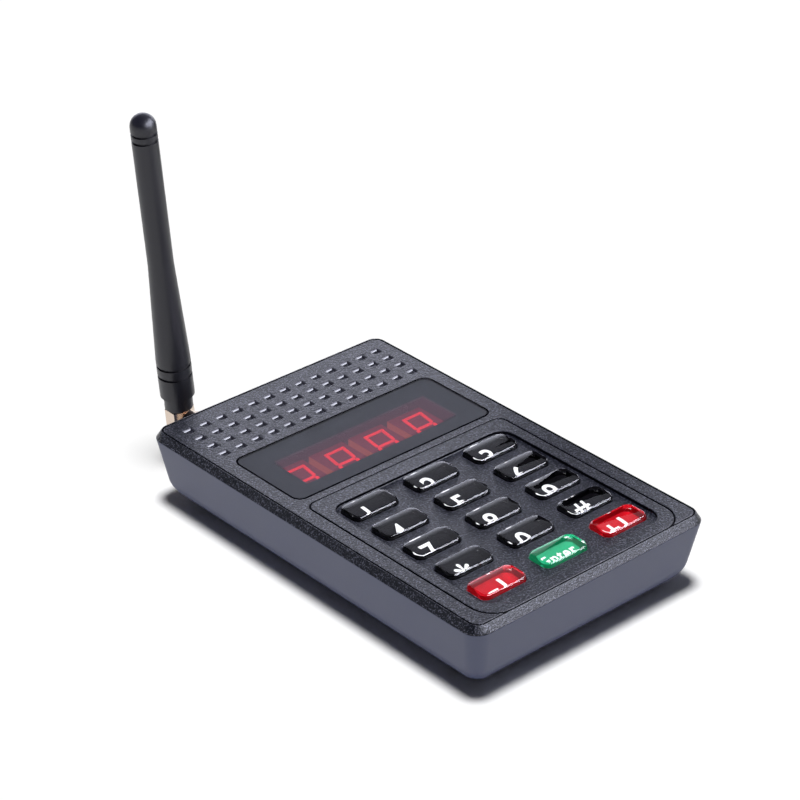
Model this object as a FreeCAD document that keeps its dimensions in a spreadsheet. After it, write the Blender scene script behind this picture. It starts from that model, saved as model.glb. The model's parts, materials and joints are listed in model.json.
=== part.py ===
import FreeCAD, Part
import math
import os
import re

import Sketcher
from FreeCAD import Placement, Rotation, Vector

# Desk-top guest pager transmitter: a low box with a keypad of fifteen keys, a four-digit display,
# a field of blind grille dimples and a whip antenna on a right-angle coaxial plug at the back.
#
# Frame: millimetres, +X to the reader's right, +Y towards the antenna, +Z up. Z = 0 is the desk.
# Inside this file, Y is counted from the middle of the housing. CENTRE_Y then moves every piece
# forward, so that the origin lies under the middle of the whole object, antenna included.

SIZES = (
    # housing
    ("body_width", 87.5, "housing width at the parting line"),
    ("body_length", 138.0, "housing length at the parting line"),
    ("corner_radius", 5.0, "plan radius of the housing corners"),
    ("case_depth", 20.5, "case underside to parting line"),
    ("case_draft", 10.0, "lean of the case walls, degrees"),
    ("bottom_round", 9.0, "radius between case wall and underside"),
    ("corner_taper", 0.2, "loss of corner radius per millimetre of inset"),
    ("case_wall", 2.0, "wall and floor of the case"),
    ("cover_thickness", 2.4, "parting line to deck"),
    ("rim_inset", 1.6, "deck edge in from the parting line"),
    ("rim_land", 0.15, "land between the rim slope and its groove"),
    ("groove_width", 0.5, "width of the decorative grooves"),
    ("groove_depth", 0.8, "depth of the rim groove"),
    ("panel_groove_depth", 0.7, "depth of the keypad panel groove"),
    ("lip_depth", 2.0, "cover lip below the parting line"),
    ("lip_thickness", 1.0, "cover lip"),
    ("lip_clearance", 0.15, "cover lip to case wall"),
    # feet and case screws
    ("foot_stand", 1.6, "case underside above the desk"),
    ("foot_diameter", 9.0, "rubber foot"),
    ("foot_sink", 0.8, "depth of the foot pockets"),
    ("foot_clearance", 0.1, "foot to pocket, radial"),
    ("foot_margin_x", 18.75, "feet in from the sides"),
    ("foot_margin_y", 20.0, "feet in from the front and the back"),
    ("case_screw_margin_x", 9.15, "case screws in from the sides"),
    ("case_screw_margin_front", 17.0, "case screws in from the front"),
    ("case_screw_margin_back", 15.0, "case screws in from the back"),
    ("case_post_diameter", 6.4, "screw posts of the case"),
    ("cover_boss_diameter", 5.6, "screw bosses of the cover"),
    ("boss_split", 10.4, "case underside to the joint of post and boss"),
    ("boss_gap", 0.1, "gap in that joint"),
    ("case_screw_diameter", 2.6, "case screw shank"),
    ("case_screw_head", 4.6, "case screw head"),
    ("case_screw_head_depth", 1.8, "height of the case screw head"),
    ("case_screw_reach", 6.0, "shank length inside the boss"),
    ("screw_clearance", 0.15, "screws in their free holes, radial"),
    ("counterbore_depth", 4.0, "recess of the case screws"),
    # window and display
    ("window_margin_x", 7.05, "display window in from the sides"),
    ("window_margin_back", 29.9, "display window in from the back"),
    ("window_length", 28.9, "display window"),
    ("window_radius", 3.0, "window corners"),
    ("window_thickness", 1.5, "window plate"),
    ("window_clearance", 0.2, "window to its recess, all round"),
    ("window_stand", 0.05, "window above the deck"),
    ("window_edge", 0.25, "bevel of the window edge"),
    ("mask_thickness", 0.15, "mask film under the window"),
    ("view_margin_x", 8.45, "clear area of the mask in from the window's sides"),
    ("view_margin_front", 6.2, "clear area of the mask in from the window's front"),
    ("view_length", 14.5, "clear area of the mask"),
    ("view_ledge", 2.0, "cover opening beyond the clear area"),
    ("digit_pitch", 15.0, "digit modules, side by side"),
    ("digit_body_width", 12.6, "digit module"),
    ("digit_body_length", 19.0, "digit module"),
    ("digit_body_height", 8.0, "digit module"),
    ("digit_width", 7.4, "seven-segment figure, outside"),
    ("digit_height", 14.2, "seven-segment figure, outside"),
    ("digit_slant", 8.0, "slant of the figures, degrees"),
    ("segment_width", 1.05, "bar of a segment"),
    ("segment_gap", 0.08, "gap between segments, half"),
    ("segment_thickness", 0.2, "segment lens above the module face"),
    # speaker dimples
    ("dimple_width", 3.0, "blind grille dimple"),
    ("dimple_length", 2.5, "blind grille dimple"),
    ("dimple_depth", 0.7, "blind grille dimple"),
    ("dimple_draft", 25.0, "lean of the dimple walls, degrees"),
    ("dimple_margin_x", 8.05, "outer dimples in from the sides"),
    ("dimple_margin_back", 8.65, "back row of dimples in from the back"),
    ("dimple_gap", 4.9, "front row of dimples behind the window"),
    # keypad
    ("key_gap_x", 6.8, "between two keys, sideways"),
    ("key_gap_y", 4.33, "between two keys, lengthways"),
    ("key_radius", 2.0, "key corners, in plan"),
    ("key_edge", 1.0, "rounding of the top edge of a key"),
    ("key_stand", 0.4, "key top above the deck"),
    ("cap_height", 7.0, "clear block of a key"),
    ("cap_fit", 0.05, "clear block in its carrier, all round"),
    ("carrier_wall", 0.75, "key carrier round the clear block"),
    ("carrier_floor", 1.0, "key carrier under the clear block"),
    ("carrier_gap", 0.1, "rim of the key carrier under the cover"),
    ("key_clearance", 0.2, "key to its hole, all round"),
    ("key_travel", 0.5, "stroke of a key"),
    ("key_stem", 4.0, "key stem"),
    ("stem_gap", 0.1, "key stem above its switch at the end of the stroke"),
    ("key_pin", 3.3, "key pin that enters the switch"),
    ("key_pin_reach", 1.2, "pin inside the switch at rest"),
    ("panel_margin_x", 6.7, "keypad panel groove in from the sides"),
    ("panel_gap", 2.7, "keypad panel groove ahead of the window"),
    ("recess_depth", 1.1, "keypad recess below the deck"),
    ("recess_margin_x", 4.05, "keypad recess inside the panel groove, sideways"),
    ("recess_margin_back", 5.55, "keypad recess inside the panel groove, at the back"),
    ("recess_margin_front", 6.48, "keypad recess in from the housing's front"),
    ("recess_radius", 5.0, "corners of the keypad recess"),
    ("key_margin_x", 2.2, "keys inside their recess, sideways"),
    ("key_margin_back", 1.35, "keys inside their recess, at the back"),
    ("key_margin_front", 3.8, "keys inside their recess, at the front"),
    ("panel_front_radius", 8.0, "front corners of the panel groove"),
    ("panel_back_radius", 3.5, "back corners of the panel groove"),
    # boards and what stands on them
    ("board_rise", 5.3, "case floor to board underside"),
    ("board_thickness", 1.6, "main board"),
    ("board_margin_x", 5.75, "main board in from the parting line, sideways"),
    ("board_margin_y", 5.5, "main board in from the parting line, lengthways"),
    ("board_radius", 5.0, "main board corners"),
    ("board_post_diameter", 5.0, "posts under the board"),
    ("board_screw_margin_x", 5.5, "board screws in from the board's sides"),
    ("board_screw_margin_front", 30.5, "first pair of board screws from the board's front"),
    ("board_screw_margin_back", 18.5, "last pair of board screws from the board's back"),
    ("board_screw_diameter", 2.0, "board screw shank"),
    ("board_screw_head", 3.8, "board screw head"),
    ("board_screw_head_depth", 1.4, "height of the board screw head"),
    ("board_screw_reach", 3.5, "board screw inside its post"),
    ("post_clearance", 0.4, "case posts in the board, radial"),
    ("switch_size", 6.0, "tact switch, square"),
    ("switch_height", 3.6, "tact switch"),
    ("switch_bore", 3.5, "bore of the tact switch"),
    ("switch_bore_depth", 2.2, "bore of the tact switch"),
    ("rf_offset", 2.3, "radio module to the right of the antenna jack"),
    ("rf_setback", 23.0, "radio module ahead of the parting line"),
    ("rf_width", 18.0, "radio module"),
    ("rf_length", 16.0, "radio module"),
    ("rf_thickness", 1.0, "radio module"),
    ("shield_width", 14.0, "radio shield can"),
    ("shield_length", 9.0, "radio shield can"),
    ("shield_height", 2.4, "radio shield can"),
    ("shield_skin", 0.3, "radio shield can"),
    ("shield_setback", 25.5, "radio shield can ahead of the parting line"),
    ("buzzer_margin", 15.0, "middle of the buzzer in from the board's side"),
    ("buzzer_setback", 26.5, "buzzer ahead of the parting line"),
    ("buzzer_diameter", 12.0, "buzzer"),
    ("buzzer_height", 6.5, "buzzer"),
    ("buzzer_port", 2.0, "sound hole of the buzzer"),
    ("chip_x", -1.0, "control chip"),
    ("chip_setback", 25.0, "control chip ahead of the parting line"),
    ("chip_width", 12.8, "control chip"),
    ("chip_length", 7.5, "control chip"),
    ("chip_height", 2.3, "control chip"),
    ("leg_span", 10.3, "control chip across its legs"),
    ("leg_width", 0.4, "control chip leg"),
    ("leg_thickness", 0.3, "control chip leg"),
    ("leg_pitch", 1.27, "control chip legs"),
    ("crystal_gap", 1.3, "crystal beside the control chip"),
    ("crystal_width", 3.2, "crystal"),
    ("crystal_length", 5.0, "crystal"),
    ("crystal_height", 1.2, "crystal"),
    ("capacitor_gap", 3.85, "filter capacitor beside the power socket"),
    ("capacitor_setback", 12.5, "filter capacitor ahead of the parting line"),
    ("capacitor_diameter", 6.3, "filter capacitor"),
    ("capacitor_height", 7.0, "filter capacitor"),
    ("regulator_gap", 1.5, "voltage regulator beside the filter capacitor"),
    ("regulator_setback", 15.5, "voltage regulator ahead of the parting line"),
    ("regulator_width", 6.5, "voltage regulator"),
    ("regulator_length", 3.5, "voltage regulator"),
    ("regulator_height", 1.7, "voltage regulator"),
    # back wall: sockets and power switch
    ("connector_height", 13.7, "case underside to the socket axes"),
    ("seat_setback", 1.1, "flat socket seats ahead of the parting line"),
    ("seat_thickness", 3.2, "case wall at the socket seats"),
    ("seat_diameter", 9.4, "flat socket seats"),
    ("jack_margin", 20.45, "antenna jack in from the left side"),
    ("dc_margin", 21.75, "power socket in from the right side"),
    ("dc_body_width", 9.0, "power socket"),
    ("dc_body_length", 13.8, "power socket"),
    ("dc_nose", 8.0, "round nose of the power socket"),
    ("dc_bore", 6.3, "bore of the power socket"),
    ("dc_bore_depth", 9.5, "bore of the power socket"),
    ("dc_pin", 2.0, "centre pin of the power socket"),
    ("dc_pin_setback", 1.0, "centre pin below the socket face"),
    ("socket_clearance", 0.15, "sockets in the wall, radial"),
    ("wall_gap", 0.1, "socket shoulders to the wall"),
    ("slide_x", 0.0, "power switch"),
    ("slide_body_width", 8.6, "power switch"),
    ("slide_body_length", 4.4, "power switch"),
    ("slide_body_height", 4.7, "power switch"),
    ("slide_block_width", 3.6, "sliding block"),
    ("slide_block_length", 2.8, "sliding block"),
    ("slide_block_height", 2.2, "sliding block"),
    ("slide_travel", 2.0, "stroke of the power switch"),
    ("slide_clearance", 0.3, "sliding block in its body"),
    ("slide_nub_width", 2.0, "finger nub"),
    ("slide_nub_height", 1.6, "finger nub"),
    ("slide_nub_reach", 3.9, "finger nub beyond the switch body"),
    ("slide_setback", 4.2, "switch body ahead of the parting line"),
    # antenna
    ("antenna_standoff", 12.0, "parting line to the antenna axis"),
    ("antenna_tilt_angle", 5.0, "lean of the antenna at rest, degrees"),
    ("sleeve_base", 4.2, "jack axis to the foot of the sleeve"),
    ("neck_diameter", 8.5, "narrow foot of the sleeve"),
    ("neck_length", 4.4, "narrow foot of the sleeve"),
    ("collar_diameter", 10.3, "thick part of the sleeve"),
    ("base_groove_low", 11.2, "first groove, from the foot"),
    ("base_groove_high", 14.6, "second groove, from the foot"),
    ("flare_low", 17.0, "start of the taper"),
    ("flare_high", 49.0, "end of the taper"),
    ("shaft_diameter", 7.6, "slim part of the sleeve"),
    ("tip_groove_low", 8.3, "third groove, down from the tip"),
    ("tip_groove_high", 6.1, "fourth groove, down from the tip"),
    ("sleeve_length", 96.8, "whole sleeve"),
    ("ring_width", 0.8, "width of the sleeve grooves"),
    ("ring_depth", 0.5, "depth of the sleeve grooves"),
    ("coil_bore", 4.6, "hollow of the sleeve"),
    ("tip_wall", 16.8, "solid end of the sleeve"),
    ("coil_diameter", 3.6, "radiator coil, outside"),
    ("coil_wire", 0.8, "radiator wire"),
    ("coil_pitch", 4.0, "radiator coil"),
    ("coil_end_gap", 11.2, "radiator coil to the end of its hollow"),
    ("elbow_flats", 7.6, "hexagonal elbow, across flats"),
    ("elbow_drop", 3.9, "elbow below the jack axis"),
    ("elbow_edge", 0.5, "bevel of the elbow edges"),
    ("elbow_face", 3.5, "flat of the elbow towards the nut, from its axis"),
    ("post_diameter", 4.0, "elbow post inside the sleeve"),
    ("post_length", 8.0, "elbow post inside the sleeve"),
    ("fit_clearance", 0.05, "turned metal fits, radial"),
    ("neck_arm", 5.0, "round arm of the elbow"),
    ("nut_flats", 8.0, "hexagon nuts, across flats"),
    ("nut_length", 5.8, "coupling nut"),
    ("nut_flange", 1.6, "inner flange of the coupling nut"),
    ("nut_setback", 4.7, "coupling nut from the antenna axis"),
    ("thread_diameter", 6.2, "jack thread"),
    ("jack_bore", 4.6, "mouth of the jack"),
    ("jack_bore_depth", 2.0, "mouth of the jack"),
    ("jack_flange", 8.6, "jack flange inside the wall"),
    ("jack_flange_thickness", 2.0, "jack flange inside the wall"),
    ("jack_tail", 3.4, "jack behind its flange"),
    ("jack_nut_thickness", 1.8, "jack nut"),
    ("washer_diameter", 9.0, "lock washer"),
    ("washer_thickness", 0.5, "lock washer"),
    ("lead_diameter", 1.8, "coaxial lead"),
    ("lead_run", 4.0, "lead behind the jack"),
    ("lead_bend", 3.0, "bend radius of the lead"),
)

NAMES = {name for name, value, meaning in SIZES}

doc = FreeCAD.newDocument("guest_pager")
sheet = doc.addObject("Spreadsheet::Sheet", "sizes")
for row, (name, value, meaning) in enumerate(SIZES, start=1):
    sheet.set(f"A{row}", name)
    sheet.set(f"B{row}", str(value))
    sheet.set(f"C{row}", meaning)
    sheet.setAlias(f"B{row}", name)
doc.recompute()

# Heights above the desk.
PARTING = "(foot_stand + case_depth)"
DECK = f"({PARTING} + cover_thickness)"
FLOOR = "(foot_stand + case_wall)"
BOARD_UNDER = f"({FLOOR} + board_rise)"
BOARD_TOP = f"({BOARD_UNDER} + board_thickness)"
CONNECTOR_Z = "(foot_stand + connector_height)"
CAP_FOOT = f"({DECK} + key_stand - cap_height)"
BOSS_FOOT = "(foot_stand + boss_split + boss_gap)"
DIGIT_FACE = f"({BOARD_TOP} + digit_body_height)"

# Places lengthways, from the middle of the housing.
BACK_Y = "(body_length / 2)"
SEAT_Y = f"({BACK_Y} - seat_setback)"
SEAT_INNER_Y = f"({SEAT_Y} - seat_thickness)"
ANTENNA_Y = f"({BACK_Y} + antenna_standoff)"
CENTRE_Y = "(0 - (antenna_standoff + collar_diameter / 2) / 2)"
WINDOW_BACK = f"({BACK_Y} - window_margin_back)"
WINDOW_Y = f"({WINDOW_BACK} - window_length / 2)"
WINDOW_FRONT = f"({WINDOW_BACK} - window_length)"
VIEW_Y = f"({WINDOW_FRONT} + view_margin_front + view_length / 2)"
PANEL_BACK = f"({WINDOW_FRONT} - panel_gap)"
RECESS_BACK = f"({PANEL_BACK} - recess_margin_back)"
RECESS_FRONT = f"(recess_margin_front - {BACK_Y})"
KEYS_FRONT = f"({RECESS_FRONT} + key_margin_front)"
KEYS_BACK = f"({RECESS_BACK} - key_margin_back)"

# Places sideways, from the middle of the housing.
JACK_X = "(jack_margin - body_width / 2)"
DC_X = "(body_width / 2 - dc_margin)"
FOOT_X = "(body_width / 2 - foot_margin_x)"
FOOT_Y = f"({BACK_Y} - foot_margin_y)"
PANEL_HALF = "(body_width / 2 - panel_margin_x)"
RECESS_HALF = f"({PANEL_HALF} - recess_margin_x)"

# Outlines: width, length and corner radius.
HOUSING = ("body_width", "body_length", "corner_radius")
WINDOW = ("(body_width - 2 * window_margin_x)", "window_length", "window_radius")
VIEW = (f"({WINDOW[0]} - 2 * view_margin_x)", "view_length")
BOARD = ("(body_width - 2 * board_margin_x)", "(body_length - 2 * board_margin_y)", "board_radius")

# Rows and grids. The case screws stand at the same distance on both sides of the middle.
KEYS = (
    ("minus", "enter", "plus"),
    ("star", "0", "hash"),
    ("7", "8", "9"),
    ("4", "5", "6"),
    ("1", "2", "3"),
)
KEY_WIDTH = f"((2 * ({RECESS_HALF} - key_margin_x) - key_gap_x * {len(KEYS[0]) - 1}) / {len(KEYS[0])})"
KEY_LENGTH = f"(({KEYS_BACK} - {KEYS_FRONT} - key_gap_y * {len(KEYS) - 1}) / {len(KEYS)})"
KEY = (KEY_WIDTH, KEY_LENGTH, "key_radius")
KEY_PITCH_X = f"({KEY_WIDTH} + key_gap_x)"
KEY_PITCH_Y = f"({KEY_LENGTH} + key_gap_y)"
FIRST_ROW_Y = f"({KEYS_FRONT} + {KEY_LENGTH} / 2)"
DIMPLE_COLUMNS = 13
DIMPLE_ROWS = 4
FIRST_DIMPLE_X = "(dimple_margin_x - body_width / 2)"
FIRST_DIMPLE_Y = f"({WINDOW_BACK} + dimple_gap)"
DIMPLE_PITCH_X = f"((0 - 2 * {FIRST_DIMPLE_X}) / {DIMPLE_COLUMNS - 1})"
DIMPLE_PITCH_Y = f"(({BACK_Y} - dimple_margin_back - {FIRST_DIMPLE_Y}) / {DIMPLE_ROWS - 1})"
DIGITS = 4
CHIP_LEGS = 9
CASE_SCREW_X = "(body_width / 2 - case_screw_margin_x)"
CASE_SCREW_FRONT = f"({BACK_Y} - case_screw_margin_front)"
CASE_SCREW_BACK = f"({BACK_Y} - case_screw_margin_back)"
BOARD_SCREW_ROWS = 3
BOARD_SCREW_X = f"({BOARD[0]} / 2 - board_screw_margin_x)"
BOARD_SCREW_Y = f"(board_screw_margin_front - {BOARD[1]} / 2)"
BOARD_SCREW_SPAN = f"({BOARD[1]} - board_screw_margin_front - board_screw_margin_back)"
BOARD_SCREW_PITCH = f"({BOARD_SCREW_SPAN} / {BOARD_SCREW_ROWS - 1})"

QUARTER_TURN = 90
ROUND_STEPS = 5


def linked(text):
    """Turn each size name in an expression into a reference to the sheet."""
    def reference(word):
        return f"sizes.{word.group()}" if word.group() in NAMES else word.group()

    return re.sub(r"[a-z][a-z0-9_]*", reference, text)


def number(text):
    """Value of an expression now, to draw a sketch close to its final shape."""
    result = sheet.evalExpression(linked(text))
    return float(getattr(result, "Value", result))


def bind(thing, path, text):
    thing.setExpression(path, linked(text))


def place(thing, x="0", y="0", z="0"):
    bind(thing, "Placement.Base.x", x)
    bind(thing, "Placement.Base.y", f"{y} + {CENTRE_Y}")
    bind(thing, "Placement.Base.z", z)


def new_body(name, x="0", y="0", z="0", separate_solids=False):
    body = doc.addObject("PartDesign::Body", name)
    body.Label = name
    body.AllowCompound = separate_solids
    place(body, x, y, z)
    return body


def origin_feature(body, role):
    return next(feature for feature in body.Origin.OriginFeatures if feature.Role == role)


def new_sketch(body, label, height="0", plane="XY_Plane"):
    """Sketch on an origin plane of its body, moved along the plane's normal by height."""
    sketch = body.newObject("Sketcher::SketchObject", f"{body.Name}_{label}")
    sketch.AttachmentSupport = [(origin_feature(body, plane), "")]
    sketch.MapMode = "FlatFace"
    bind(sketch, "AttachmentOffset.Base.z", height)
    return sketch


def dimension(sketch, kind, geometry, text):
    index = sketch.addConstraint(Sketcher.Constraint(kind, *geometry, number(text)))
    bind(sketch, f"Constraints[{index}]", text)


def fix_point(sketch, shape, point, x, y):
    dimension(sketch, "DistanceX", (-1, 1, shape, point), x)
    dimension(sketch, "DistanceY", (-1, 1, shape, point), y)


def circle(sketch, diameter, x="0", y="0"):
    centre = Vector(number(x), number(y), 0)
    index = sketch.addGeometry(Part.Circle(centre, Vector(0, 0, 1), number(diameter) / 2))
    fix_point(sketch, index, 3, x, y)
    dimension(sketch, "Diameter", (index,), diameter)


def polygon(sketch, points):
    """Closed outline through points whose coordinates are expressions."""
    corners = [Vector(number(x), number(y), 0) for x, y in points]
    sides = []
    for corner, following in zip(corners, corners[1:] + corners[:1]):
        sides.append(sketch.addGeometry(Part.LineSegment(corner, following)))
    for side, following in zip(sides, sides[1:] + sides[:1]):
        sketch.addConstraint(Sketcher.Constraint("Coincident", side, 2, following, 1))
    for side, (x, y) in zip(sides, points):
        fix_point(sketch, side, 1, x, y)


def hexagon(sketch, flats, x="0", y="0"):
    """Hexagon with a corner up and down in the sketch and two flats at its sides."""
    half = f"({flats}) / 2"
    short = f"({flats}) / 2 * tan(30)"
    tall = f"({flats}) / 2 / cos(30)"
    offsets = ((half, f"0 - {short}"), (half, short), ("0", tall), (f"0 - {half}", short))
    offsets += ((f"0 - {half}", f"0 - {short}"), ("0", f"0 - {tall}"))
    polygon(sketch, [(f"({x}) + ({dx})", f"({y}) + ({dy})") for dx, dy in offsets])


def rectangle(sketch, left, right, front, back):
    polygon(sketch, ((left, front), (right, front), (right, back), (left, back)))


def block_outline(sketch, width, length, x="0", y="0"):
    left, right = f"{x} - {width} / 2", f"{x} + {width} / 2"
    rectangle(sketch, left, right, f"{y} - {length} / 2", f"{y} + {length} / 2")


def rounded(sketch, left, right, front, back, front_radius, back_radius=None):
    """Rectangle with round corners, each size an expression."""
    back_radius = back_radius or front_radius
    x0, x1, y0, y1 = (number(text) for text in (left, right, front, back))
    low, high = number(front_radius), number(back_radius)
    arc_places = (
        (x1 - low, y0 + low, low, -1),
        (x1 - high, y1 - high, high, 0),
        (x0 + high, y1 - high, high, 1),
        (x0 + low, y0 + low, low, 2),
    )
    arcs = []
    for x, y, radius, quarter in arc_places:
        ring = Part.Circle(Vector(x, y, 0), Vector(0, 0, 1), radius)
        start, end = quarter * QUARTER_TURN, (quarter + 1) * QUARTER_TURN
        arcs.append(Part.ArcOfCircle(ring, math.radians(start), math.radians(end)))
    sides = (
        Part.LineSegment(Vector(x0 + low, y0, 0), Vector(x1 - low, y0, 0)),
        Part.LineSegment(Vector(x1, y0 + low, 0), Vector(x1, y1 - high, 0)),
        Part.LineSegment(Vector(x1 - high, y1, 0), Vector(x0 + high, y1, 0)),
        Part.LineSegment(Vector(x0, y1 - high, 0), Vector(x0, y0 + low, 0)),
    )
    loop = []
    for side, arc in zip(sides, arcs):
        loop.append(sketch.addGeometry(side))
        loop.append(sketch.addGeometry(arc))
    for shape, following in zip(loop, loop[1:] + loop[:1]):
        sketch.addConstraint(Sketcher.Constraint("Tangent", shape, 2, following, 1))
    for direction, shape in zip(("Horizontal", "Vertical") * 2, loop[::2]):
        sketch.addConstraint(Sketcher.Constraint(direction, shape))
    for radius, shape in zip((front_radius, back_radius, back_radius, front_radius), loop[1::2]):
        dimension(sketch, "Radius", (shape,), radius)
    dimension(sketch, "DistanceY", (-1, 1, loop[0], 1), front)
    dimension(sketch, "DistanceX", (-1, 1, loop[2], 1), right)
    dimension(sketch, "DistanceY", (-1, 1, loop[4], 1), back)
    dimension(sketch, "DistanceX", (-1, 1, loop[6], 1), left)


def inset_outline(sketch, outline, inset="0", x="0", y="0"):
    """Round-cornered rectangle about a middle, drawn in from its sides by inset."""
    width, length, radius = outline
    half_width = f"({width} / 2 - ({inset}))"
    half_length = f"({length} / 2 - ({inset}))"
    left, right = f"{x} - {half_width}", f"{x} + {half_width}"
    rounded(sketch, left, right, f"{y} - {half_length}", f"{y} + {half_length}", f"{radius} - ({inset})")


def solid_feature(body, kind, label, sketch, length, reverse=False):
    feature = body.newObject(f"PartDesign::{kind}", f"{body.Name}_{label}")
    feature.Profile = sketch
    feature.Reversed = reverse
    bind(feature, "Length", length)
    body.Tip = feature
    return feature


def pad(body, label, sketch, length, down=False):
    return solid_feature(body, "Pad", label, sketch, length, down)


def pocket(body, label, sketch, length, up=False):
    return solid_feature(body, "Pocket", label, sketch, length, up)


def loft(body, label, sketches, cut=False, straight=False):
    kind = "SubtractiveLoft" if cut else "AdditiveLoft"
    feature = body.newObject(f"PartDesign::{kind}", f"{body.Name}_{label}")
    feature.Profile = sketches[0]
    feature.Sections = sketches[1:]
    feature.Ruled = straight
    body.Tip = feature
    return feature


def revolve(body, label, sketch):
    """Turn a profile drawn on the XZ plane about the upright axis."""
    feature = body.newObject("PartDesign::Revolution", f"{body.Name}_{label}")
    feature.Profile = sketch
    feature.ReferenceAxis = (sketch, ["V_Axis"])
    feature.Angle = 360
    body.Tip = feature
    return feature


def grid(body, label, features, pitch_x, count_x, pitch_y="0", count_y=1):
    """Repeat features in columns along X and, if there is more than one, in rows along Y."""
    feature = body.newObject("PartDesign::LinearPattern", f"{body.Name}_{label}")
    feature.Originals = features
    feature.Direction = (origin_feature(body, "X_Axis"), [""])
    feature.Mode = "Extent"
    feature.Occurrences = count_x
    bind(feature, "Length", f"({pitch_x}) * {count_x - 1}")
    if count_y > 1:
        feature.Direction2 = (origin_feature(body, "Y_Axis"), [""])
        feature.Mode2 = "Extent"
        feature.Occurrences2 = count_y
        bind(feature, "Length2", f"({pitch_y}) * {count_y - 1}")
    body.Tip = feature
    return feature


def edges_at_height(feature, text):
    """Names of the edges that lie level at one height."""
    height = number(text)
    names = []
    for index, edge in enumerate(feature.Shape.Edges, start=1):
        box = edge.BoundBox
        if abs(box.ZMin - height) < 1e-4 and abs(box.ZMax - height) < 1e-4:
            names.append(f"Edge{index}")
    return names


def dress(body, kind, label, base, edges, size):
    feature = body.newObject(f"PartDesign::{kind}", f"{body.Name}_{label}")
    feature.Base = (base, edges)
    bind(feature, "Radius" if kind == "Fillet" else "Size", size)
    body.Tip = feature
    return feature


def box_piece(name, width, length, height, x, y, z):
    """Rectangular component that stands on z with its middle at x, y."""
    body = new_body(name, x, y, z)
    sketch = new_sketch(body, "outline")
    block_outline(sketch, width, length)
    pad(body, "block", sketch, height)
    return body


def cross_slot(sketch, head):
    """Plus-shaped driver slot across a screw head."""
    arm, half = f"({head} * 0.3)", f"({head} * 0.06)"
    quarter = [(arm, half), (half, half), (half, arm)]
    points = []
    for turn in range(4):
        points += quarter
        quarter = [(f"(0 - {y})", x) for x, y in quarter]
    polygon(sketch, points)


def screw_group(name, x, y, z, head, head_depth, shank, length, spread_x, spread_y, count_y, head_up):
    """Cross-head screws in a grid, from the one at x, y. z is the seat under the head."""
    body = new_body(name, x, y, z, separate_solids=True)
    head_sketch = new_sketch(body, "head")
    circle(head_sketch, head)
    head_pad = pad(body, "head_disc", head_sketch, head_depth, down=not head_up)
    shank_sketch = new_sketch(body, "shank")
    circle(shank_sketch, shank)
    shank_pad = pad(body, "shank_rod", shank_sketch, length, down=head_up)
    slot_sketch = new_sketch(body, "slot", head_depth if head_up else f"0 - {head_depth}")
    cross_slot(slot_sketch, head)
    slot = pocket(body, "cross_slot", slot_sketch, f"{head_depth} / 2", up=not head_up)
    grid(body, "set", [head_pad, shank_pad, slot], spread_x, 2, spread_y, count_y)
    return body


# --- housing ---------------------------------------------------------------------------------

def case_section(body, label, angle, skin):
    """One level outline of the case where its round underside has turned by angle.

    Skin is 0 on the outer face and the wall on the inner face.
    """
    lean = "((case_depth - bottom_round * (1 - sin(case_draft))) * tan(case_draft))"
    outer = f"({lean} + bottom_round * (cos(case_draft) - cos({angle})))"
    inset = f"({outer} + {skin} * cos({angle}))"
    height = f"(foot_stand + bottom_round * (1 - sin({angle})) + {skin} * sin({angle}))"
    radius = f"corner_radius - {outer} * corner_taper - {skin} * cos({angle})"
    sketch = new_sketch(body, label, height)
    half_width = f"(body_width / 2 - {inset})"
    half_length = f"(body_length / 2 - {inset})"
    rounded(sketch, f"0 - {half_width}", half_width, f"0 - {half_length}", half_length, radius)
    return sketch


def case_skin(body, label, skin, cut):
    """Leaning walls and round underside of the case, as one outer or inner skin."""
    top = new_sketch(body, f"{label}_top", PARTING)
    inset_outline(top, HOUSING, f"{skin} / cos(case_draft)")
    knee = case_section(body, f"{label}_knee", "case_draft", skin)
    loft(body, f"{label}_walls", [top, knee], cut, straight=True)
    turns = []
    for step in range(ROUND_STEPS + 1):
        angle = f"(case_draft + ({QUARTER_TURN} - case_draft) * {step} / {ROUND_STEPS})"
        turns.append(case_section(body, f"{label}_turn_{step}", angle, skin))
    loft(body, f"{label}_underside", turns, cut)


def case_screw_circles(sketch, diameter):
    for x in (f"0 - {CASE_SCREW_X}", CASE_SCREW_X):
        circle(sketch, diameter, x, f"0 - {CASE_SCREW_FRONT}")
        circle(sketch, diameter, x, CASE_SCREW_BACK)


def board_screw_circles(sketch, diameter):
    for x in (f"0 - {BOARD_SCREW_X}", BOARD_SCREW_X):
        for step in range(BOARD_SCREW_ROWS):
            circle(sketch, diameter, x, f"{BOARD_SCREW_Y} + {BOARD_SCREW_PITCH} * {step}")


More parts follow.
